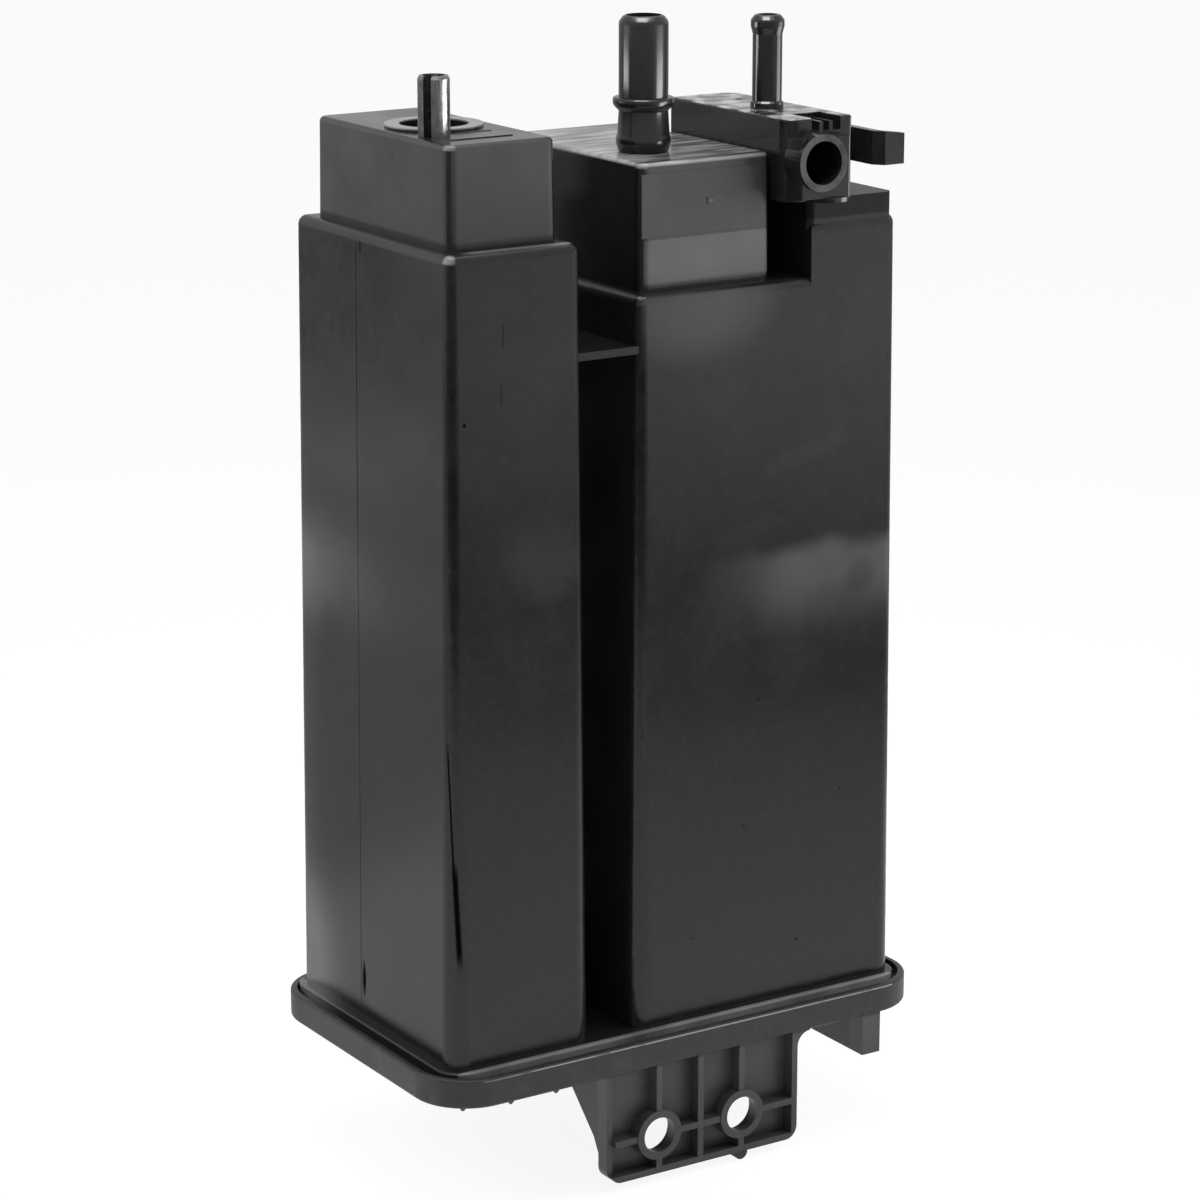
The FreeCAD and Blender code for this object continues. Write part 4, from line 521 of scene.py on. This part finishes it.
def cover_marks(tree, place):
    """Scuffed lighter patches on the cover's rim, a front below it that is lighter towards the
    rim, and a painted highlight along the rim's edge.
    """
    x, y, z = tree.parts(place)
    blotch = tree.noise(place, 9.0, 4.0, 0.6)
    left = x.ramp(-6.0, -2.0, 1.0, 0.0) * blotch.ramp(0.4, 0.75, 0.0, 0.3)
    rim = y.ramp(-8.0, -4.0, 1.0, 0.0) * blotch.ramp(0.5, 0.8, 0.0, 0.3) * z.ramp(-12.0, -10.0)
    # The front below the rim, lighter towards the rim
    under = z.ramp(-40.0, -12.0, 0.26, 0.45) * z.ramp(-11.0, -10.0, 1.0, 0.0)
    sheen_and_scuff = (left + rim) * z.ramp(-11.0, -8.0, 0.6, 1.0) + y.ramp(-2.0, 0.0, 1.0, 0.0) * under
    # Painted highlight along the rim's edge
    edge = z.between(-1.75, -1.5, -1.35, -1.1) * y.ramp(-8.3, -8.0, 1.0, 0.0)
    broken = tree.noise(place, 7.0, 3.0).ramp(0.3, 0.5, 0.35, 1.0)
    return (sheen_and_scuff.ramp(0.0, 1.0), blotch.ramp(0.2, 0.3, 0.25, 0.0),
            edge * broken * x.ramp(5.0, 30.0, 0.25, 0.7))


def duct_marks(tree, place):
    """Painted highlights as light blotches on the duct's top and a paler socket face, and the
    duct's dark dot.
    """
    x, y, z = tree.parts(place)
    blotch = tree.noise(place, 7.0, 3.0)
    top = z.between(293.5, 293.8, 294.0, 294.3) * x.ramp(126.0, 126.8)
    face = y.ramp(-5.75, -5.5, 1.0, 0.0) * z.ramp(268.0, 270.0)
    # Painted highlights on the socket's face and the duct's top; the dot is a dark mark
    return (face * blotch.ramp(0.3, 0.6, 0.1, 0.45),
            tree.patch(x, y, (142.4, 51.3), (1.7, 1.7)) * top,
            top * blotch.ramp(0.4, 0.65, 0.0, 0.5))


def dress(nodes, material):
    """Give a finish to CAD nodes."""
    for name in nodes:
        for place in frame["nodes"][name].material_slots:
            place.material = material


def made(name, mesh, material):
    """A new object from a bmesh, with its material."""
    data = bpy.data.meshes.new(name)
    mesh.to_mesh(data)
    mesh.free()
    piece = bpy.data.objects.new(name, data)
    bpy.context.scene.collection.objects.link(piece)
    data.materials.append(material)
    return piece


def finished(name, mesh, material):
    """A new piece of the canister from a bmesh, riding on it."""
    bmesh.ops.recalc_face_normals(mesh, faces=mesh.faces)
    piece = made(name, mesh, material)
    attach(piece, "root")
    return piece


def smoothed(mesh, most=40.0):
    """Shade a bmesh smooth, apart from its edges over an angle."""
    for face in mesh.faces:
        face.smooth = True
    for edge in mesh.edges:
        edge.smooth = edge.calc_face_angle(0.0) < math.radians(most)


def turned(profile, middle, rounds=(), offset=0.5, steps=96):
    """A solid of revolution from a closed half section in millimetres, with some rings rounded."""
    mesh = bmesh.new()
    spots = [mesh.verts.new(Vector((radius, 0.0, height)) * MM) for radius, height in profile]
    edges = [mesh.edges.new((spots[index - 1], spot)) for index, spot in enumerate(spots)]
    bmesh.ops.spin(mesh, geom=spots + edges, cent=(0, 0, 0), axis=(0, 0, 1), dvec=(0, 0, 0),
                   angle=2 * math.pi, steps=steps, use_merge=True, use_duplicate=False)
    bmesh.ops.remove_doubles(mesh, verts=mesh.verts, dist=0.001 * MM)
    bmesh.ops.dissolve_degenerate(mesh, edges=mesh.edges, dist=0.001 * MM)
    rings = [edge for edge in mesh.edges
             if any(all(abs(end.co.xy.length / MM - radius) < 0.02
                        and abs(end.co.z / MM - height) < 0.02 for end in edge.verts)
                    for radius, height in rounds)]
    if rings:
        bmesh.ops.bevel(mesh, geom=rings, offset=offset * MM, segments=4, profile=0.5,
                        affect="EDGES", material=-1)
    bmesh.ops.translate(mesh, verts=mesh.verts, vec=at(*middle))
    bmesh.ops.recalc_face_normals(mesh, faces=mesh.faces)
    smoothed(mesh)
    return mesh


def block(low, high, edge=0.1, lean=(0.0, 0.0)):
    """A block between two corners in millimetres, with rounded edges, leaning as the walls do."""
    mesh = bmesh.new()
    bmesh.ops.create_cube(mesh, size=1.0)
    low, high = Vector(low), Vector(high)
    bmesh.ops.scale(mesh, verts=mesh.verts, vec=(high - low) * MM)
    bmesh.ops.bevel(mesh, geom=mesh.edges[:], offset=edge * MM, segments=2, profile=0.5,
                    affect="EDGES", material=-1)
    bmesh.ops.translate(mesh, verts=mesh.verts, vec=(low + high) / 2 * MM)
    slope = Matrix(((1, 0, lean[0], 0), (0, 1, lean[1], 0), (0, 0, 1, 0), (0, 0, 0, 1)))
    bmesh.ops.transform(mesh, matrix=slope, verts=mesh.verts)
    bmesh.ops.translate(mesh, verts=mesh.verts, vec=FOOT)
    return mesh


def joined(meshes):
    """One bmesh of several."""
    whole = bmesh.new()
    for mesh in meshes:
        part = bpy.data.meshes.new("part")
        mesh.to_mesh(part)
        mesh.free()
        whole.from_mesh(part)
        bpy.data.meshes.remove(part)
    return whole


class CANISTER_OT_housing(bpy.types.Operator):
    """Finish the housing and add its parting line, tank box panel, gate mark and vent ledges"""

    bl_idname = "canister.housing"
    bl_label = "Housing"

    def execute(self, context):
        sizes = context.scene.canister_sizes
        finishes = context.scene.canister_finishes
        plastic = finish_plastic("housing_black", finishes.housing_tone, 0.2,
                                 marks=housing_marks)
        dress(["housing"], plastic)

        place = sizes.parting_line_place / MM
        proud = sizes.parting_line_height / MM
        low, high = PARTING_HEIGHTS
        line = block((-proud, place - 0.25, low), (0.3, place + 0.25, high), 0.08, (DRAFT, 0.0))
        finished("parting_line", line, plastic)

        low, high = PANEL_HEIGHTS
        panel = block((76.5, BOX_FRONT - 0.25, low), (122.6, BOX_FRONT + 0.3, high), 0.2,
                      (0.0, DRAFT))
        finished("tank_box_panel", panel, plastic)

        low, high = GATE_HEIGHTS
        gate = block((101.2, BOX_FRONT - 0.55, low), (103.8, BOX_FRONT + 0.2, high), 0.25,
                     (0.0, DRAFT))
        finished("gate_mark", gate, plastic)

        ledges = [
            block((15.0, 20.0, 293.5), (36.6, 21.4, 294.1), 0.15),
            block((24.0, 32.6, 293.5), (36.6, 33.6, 294.0), 0.15),
        ]
        finished("vent_ledges", joined(ledges), plastic)
        return {"FINISHED"}


class CANISTER_OT_cover(bpy.types.Operator):
    """Finish the bottom cover and add the nibs along its rim"""

    bl_idname = "canister.cover"
    bl_label = "Bottom cover"

    def execute(self, context):
        finishes = context.scene.canister_finishes
        plastic = finish_plastic("cover_black", finishes.cover_tone, 0.4, marks=cover_marks)
        dress(["bottom_cover"], plastic)
        nibs = [turned(NIB_SECTION, (x, y, RIM_FOOT), steps=12) for x, y in NIB_PLACES]
        nibs.append(block((181.6, 40.0, -2.6), (184.0, 42.2, -1.4), 0.4))
        finished("rim_nibs", joined(nibs), plastic)
        return {"FINISHED"}


class CANISTER_OT_ports(bpy.types.Operator):
    """Turn the tank port with its round rings, and finish the valve duct"""

    bl_idname = "canister.ports"
    bl_label = "Ports"

    def execute(self, context):
        finishes = context.scene.canister_finishes
        plastic = finish_plastic("port_black", finishes.port_tone, 0.2, wave=0.02, grain=0.003)
        dress(["tank_port"], plastic)
        dress(["valve_duct"], finish_plastic("valve_black", finishes.port_tone, 0.16, wave=0.06,
                                             grain=0.003, marks=duct_marks))
        port = finished("tank_port_turned",
                        turned(PORT_SECTION, PORT_PLACE, PORT_ROUNDS, PORT_ROUNDING), plastic)
        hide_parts("tank_port")
        return {"FINISHED"}


class CANISTER_OT_pin(bpy.types.Operator):
    """Finish the locating pin"""

    bl_idname = "canister.pin"
    bl_label = "Locating pin"

    def execute(self, context):
        finishes = context.scene.canister_finishes
        dress(["locating_pin"], finish_metal("pin_steel_finish", finishes.steel_tone, 0.3))
        return {"FINISHED"}


class CANISTER_OT_filling(bpy.types.Operator):
    """Finish the pads, charcoal, plates and springs"""

    bl_idname = "canister.filling"
    bl_label = "Filling"

    def execute(self, context):
        nodes = sorted(frame["nodes"])
        dress([name for name in nodes if name.endswith("_pad")],
              finish_grains("foam_finish", 0.05, 0.16, 0.8))
        dress([name for name in nodes if name.endswith("_bed")],
              finish_grains("charcoal_finish", 0.008, 0.03, 2.2))
        dress([name for name in nodes if name.endswith("_plate")],
              finish_plastic("plate_black", 0.03, 0.4))
        dress([name for name in nodes if "_spring_" in name],
              finish_metal("spring_finish", 0.42, 0.25))
        return {"FINISHED"}


def softbox(name, place, target, size, power, pieces=()):
    """A rectangular area lamp that faces a target and lights everything, or some pieces only."""
    data = bpy.data.lights.new(name, "AREA")
    data.shape = "RECTANGLE"
    data.size, data.size_y = size
    data.energy = power
    lamp = bpy.data.objects.new(name, data)
    lamp.visible_camera = False
    bpy.context.scene.collection.objects.link(lamp)
    lamp.location = place
    lamp.rotation_euler = (Vector(target) - Vector(place)).to_track_quat("-Z", "Y").to_euler()
    if pieces:
        lit = bpy.data.collections.new(name + "_lit")
        for piece in pieces:
            lit.objects.link(piece)
        lamp.light_linking.receiver_collection = lit
    return lamp


def light_path(tree):
    """Two values: 1 for camera rays, and 1 for every ray that shows the background."""
    node = tree.add("ShaderNodeLightPath")
    camera_ray = Shade(tree, node.outputs["Is Camera Ray"])
    seen = camera_ray
    for name in ("Is Glossy Ray", "Is Transmission Ray"):
        seen = seen.maths("MAXIMUM", Shade(tree, node.outputs[name]))
    return camera_ray, seen


def card(name, tone, near, far, width, turn):
    """A glowing card that lies on the floor and shows only in the gloss of the canister, standing
    in for how brightly that patch of floor is lit.
    """
    mesh = bmesh.new()
    bmesh.ops.create_grid(mesh, x_segments=1, y_segments=1, size=0.5)
    bmesh.ops.scale(mesh, verts=mesh.verts, vec=(width, far - near, 1.0))
    bmesh.ops.translate(mesh, verts=mesh.verts, vec=(0.0, (near + far) / 2, 0.0))
    spin = Matrix.Rotation(math.radians(turn), 3, "Z")
    bmesh.ops.rotate(mesh, verts=mesh.verts, cent=(0.0, 0.0, 0.0), matrix=spin)
    middle = at(*MIDDLE, 0.0)
    bmesh.ops.translate(mesh, verts=mesh.verts,
                        vec=(middle.x, middle.y, CAD_BOX[0].z + CARD_HEIGHT))
    material, tree = new_material(name + "_paper")
    tree.surface(tree.value("ShaderNodeEmission", None, {"Color": tint(1.0), "Strength": tone}))
    piece = made(name, mesh, material)
    piece.visible_camera = False
    piece.visible_diffuse = False
    piece.visible_shadow = False


def place_camera(scene):
    """The camera, as fitted to the photograph."""
    turn, tilt = math.radians(CAMERA_TURN), math.radians(CAMERA_TILT)
    data = bpy.data.cameras.new("camera")
    data.sensor_width = CAMERA_SENSOR
    data.lens = CAMERA_LENS
    data.clip_start = 0.05
    camera = bpy.data.objects.new("camera", data)
    scene.collection.objects.link(camera)
    back = Vector((-math.sin(turn) * math.cos(tilt), -math.cos(turn) * math.cos(tilt),
                   math.sin(tilt)))
    camera.location = at(*CAMERA_TARGET) + CAMERA_AWAY * back
    camera.rotation_euler = (math.pi / 2 - tilt, 0.0, -turn)
    scene.camera = camera


def lay_floor(tone):
    """A pale floor, white to the camera and in reflections, that keeps the object's shadow."""
    mesh = bmesh.new()
    bmesh.ops.create_circle(mesh, cap_ends=True, segments=96, radius=FLOOR_RADIUS)
    bmesh.ops.translate(mesh, verts=mesh.verts, vec=(0.0, 0.0, CAD_BOX[0].z - FLOOR_GAP))
    material, tree = new_material("floor_paper")
    camera_ray, seen = light_path(tree)
    paper = tree.value("ShaderNodeBsdfDiffuse", None, {"Color": tint(tone)})
    strength = camera_ray * FLOOR_GLOW_SEEN + FLOOR_GLOW
    glow = tree.value("ShaderNodeEmission", None, {"Color": tint(1.0), "Strength": strength})
    shade = tree.mix(camera_ray, tint(0.0), tint(FLOOR_SHADOW_TONE))
    dim = tree.value("ShaderNodeBsdfDiffuse", None, {"Color": shade})
    bright = tree.value("ShaderNodeAddShader", None, {0: glow, 1: dim})
    tree.surface(tree.value("ShaderNodeMixShader", None, {0: seen, 1: paper, 2: bright}))
    floor = made("floor", mesh, material)


def light_world(scene):
    """Even light all round, white to the camera."""
    world = bpy.data.worlds.new("studio")
    scene.world = world
    world.use_nodes = True
    tree = Tree(world.node_tree)
    camera_ray, seen = light_path(tree)
    strength = seen * WORLD_MIRRORED + camera_ray * WORLD_SEEN + WORLD_LIGHT
    glow = tree.value("ShaderNodeBackground", None, {"Color": tint(1.0), "Strength": strength})
    tree.add("ShaderNodeOutputWorld", None, {"Surface": glow})


class CANISTER_OT_studio(bpy.types.Operator):
    """Camera, floor, cards, softboxes and world"""

    bl_idname = "canister.studio"
    bl_label = "Studio"

    def execute(self, context):
        studio = context.scene.canister_studio
        context.scene.view_settings.view_transform = "Standard"
        place_camera(context.scene)
        lay_floor(studio.floor_tone)
        light_world(context.scene)
        for values in CARDS:
            card(*values)

        body = at(*MIDDLE, BODY_HEIGHT)
        ports = at(*MIDDLE, PORTS_HEIGHT)
        softbox("overhead", OVERHEAD_PLACE, body, OVERHEAD_SIZE, studio.key_power)
        for name, way in FILLS.items():
            fill = softbox(name, body + Vector(way), ports, FILL_SIZE, FILL_POWER)
            fill.visible_glossy = False
        shiny = {
            "port": bpy.data.objects["tank_port_turned"],
            "duct": frame["nodes"]["valve_duct"],
            "pin": frame["nodes"]["locating_pin"],
        }
        for name, way, size, power, lit in PORT_BOXES:
            softbox(name, ports + Vector(way), ports, size, power, [shiny[key] for key in lit])
        return {"FINISHED"}


class VIEW3D_PT_canister(bpy.types.Panel):
    """Steps and settings of the canister"""

    bl_label = "Charcoal canister"
    bl_space_type = "VIEW_3D"
    bl_region_type = "UI"
    bl_category = "Canister"

    def draw(self, context):
        for step in STEPS:
            self.layout.operator(step.bl_idname)
        for group in (context.scene.canister_sizes, context.scene.canister_finishes,
                      context.scene.canister_studio):
            for name in group.__annotations__:
                self.layout.prop(group, name)


GROUPS = {
    "canister_sizes": CanisterSizes,
    "canister_finishes": CanisterFinishes,
    "canister_studio": StudioSettings,
}
STEPS = (CANISTER_OT_housing, CANISTER_OT_cover, CANISTER_OT_ports, CANISTER_OT_pin,
         CANISTER_OT_filling, CANISTER_OT_studio)


def register():
    for group in GROUPS.values():
        bpy.utils.register_class(group)
    for step in STEPS:
        bpy.utils.register_class(step)
    bpy.utils.register_class(VIEW3D_PT_canister)
    for name, group in GROUPS.items():
        setattr(bpy.types.Scene, name, bpy.props.PointerProperty(type=group))


def unregister():
    for name in GROUPS:
        delattr(bpy.types.Scene, name)
    bpy.utils.unregister_class(VIEW3D_PT_canister)
    for step in reversed(STEPS):
        bpy.utils.unregister_class(step)
    for group in reversed(GROUPS.values()):
        bpy.utils.unregister_class(group)


def main():
    """Make every piece in order."""
    register()
    bpy.ops.canister.housing()
    bpy.ops.canister.cover()
    bpy.ops.canister.ports()
    bpy.ops.canister.pin()
    bpy.ops.canister.filling()
    bpy.ops.canister.studio()


if __name__ == "__main__":
    main()
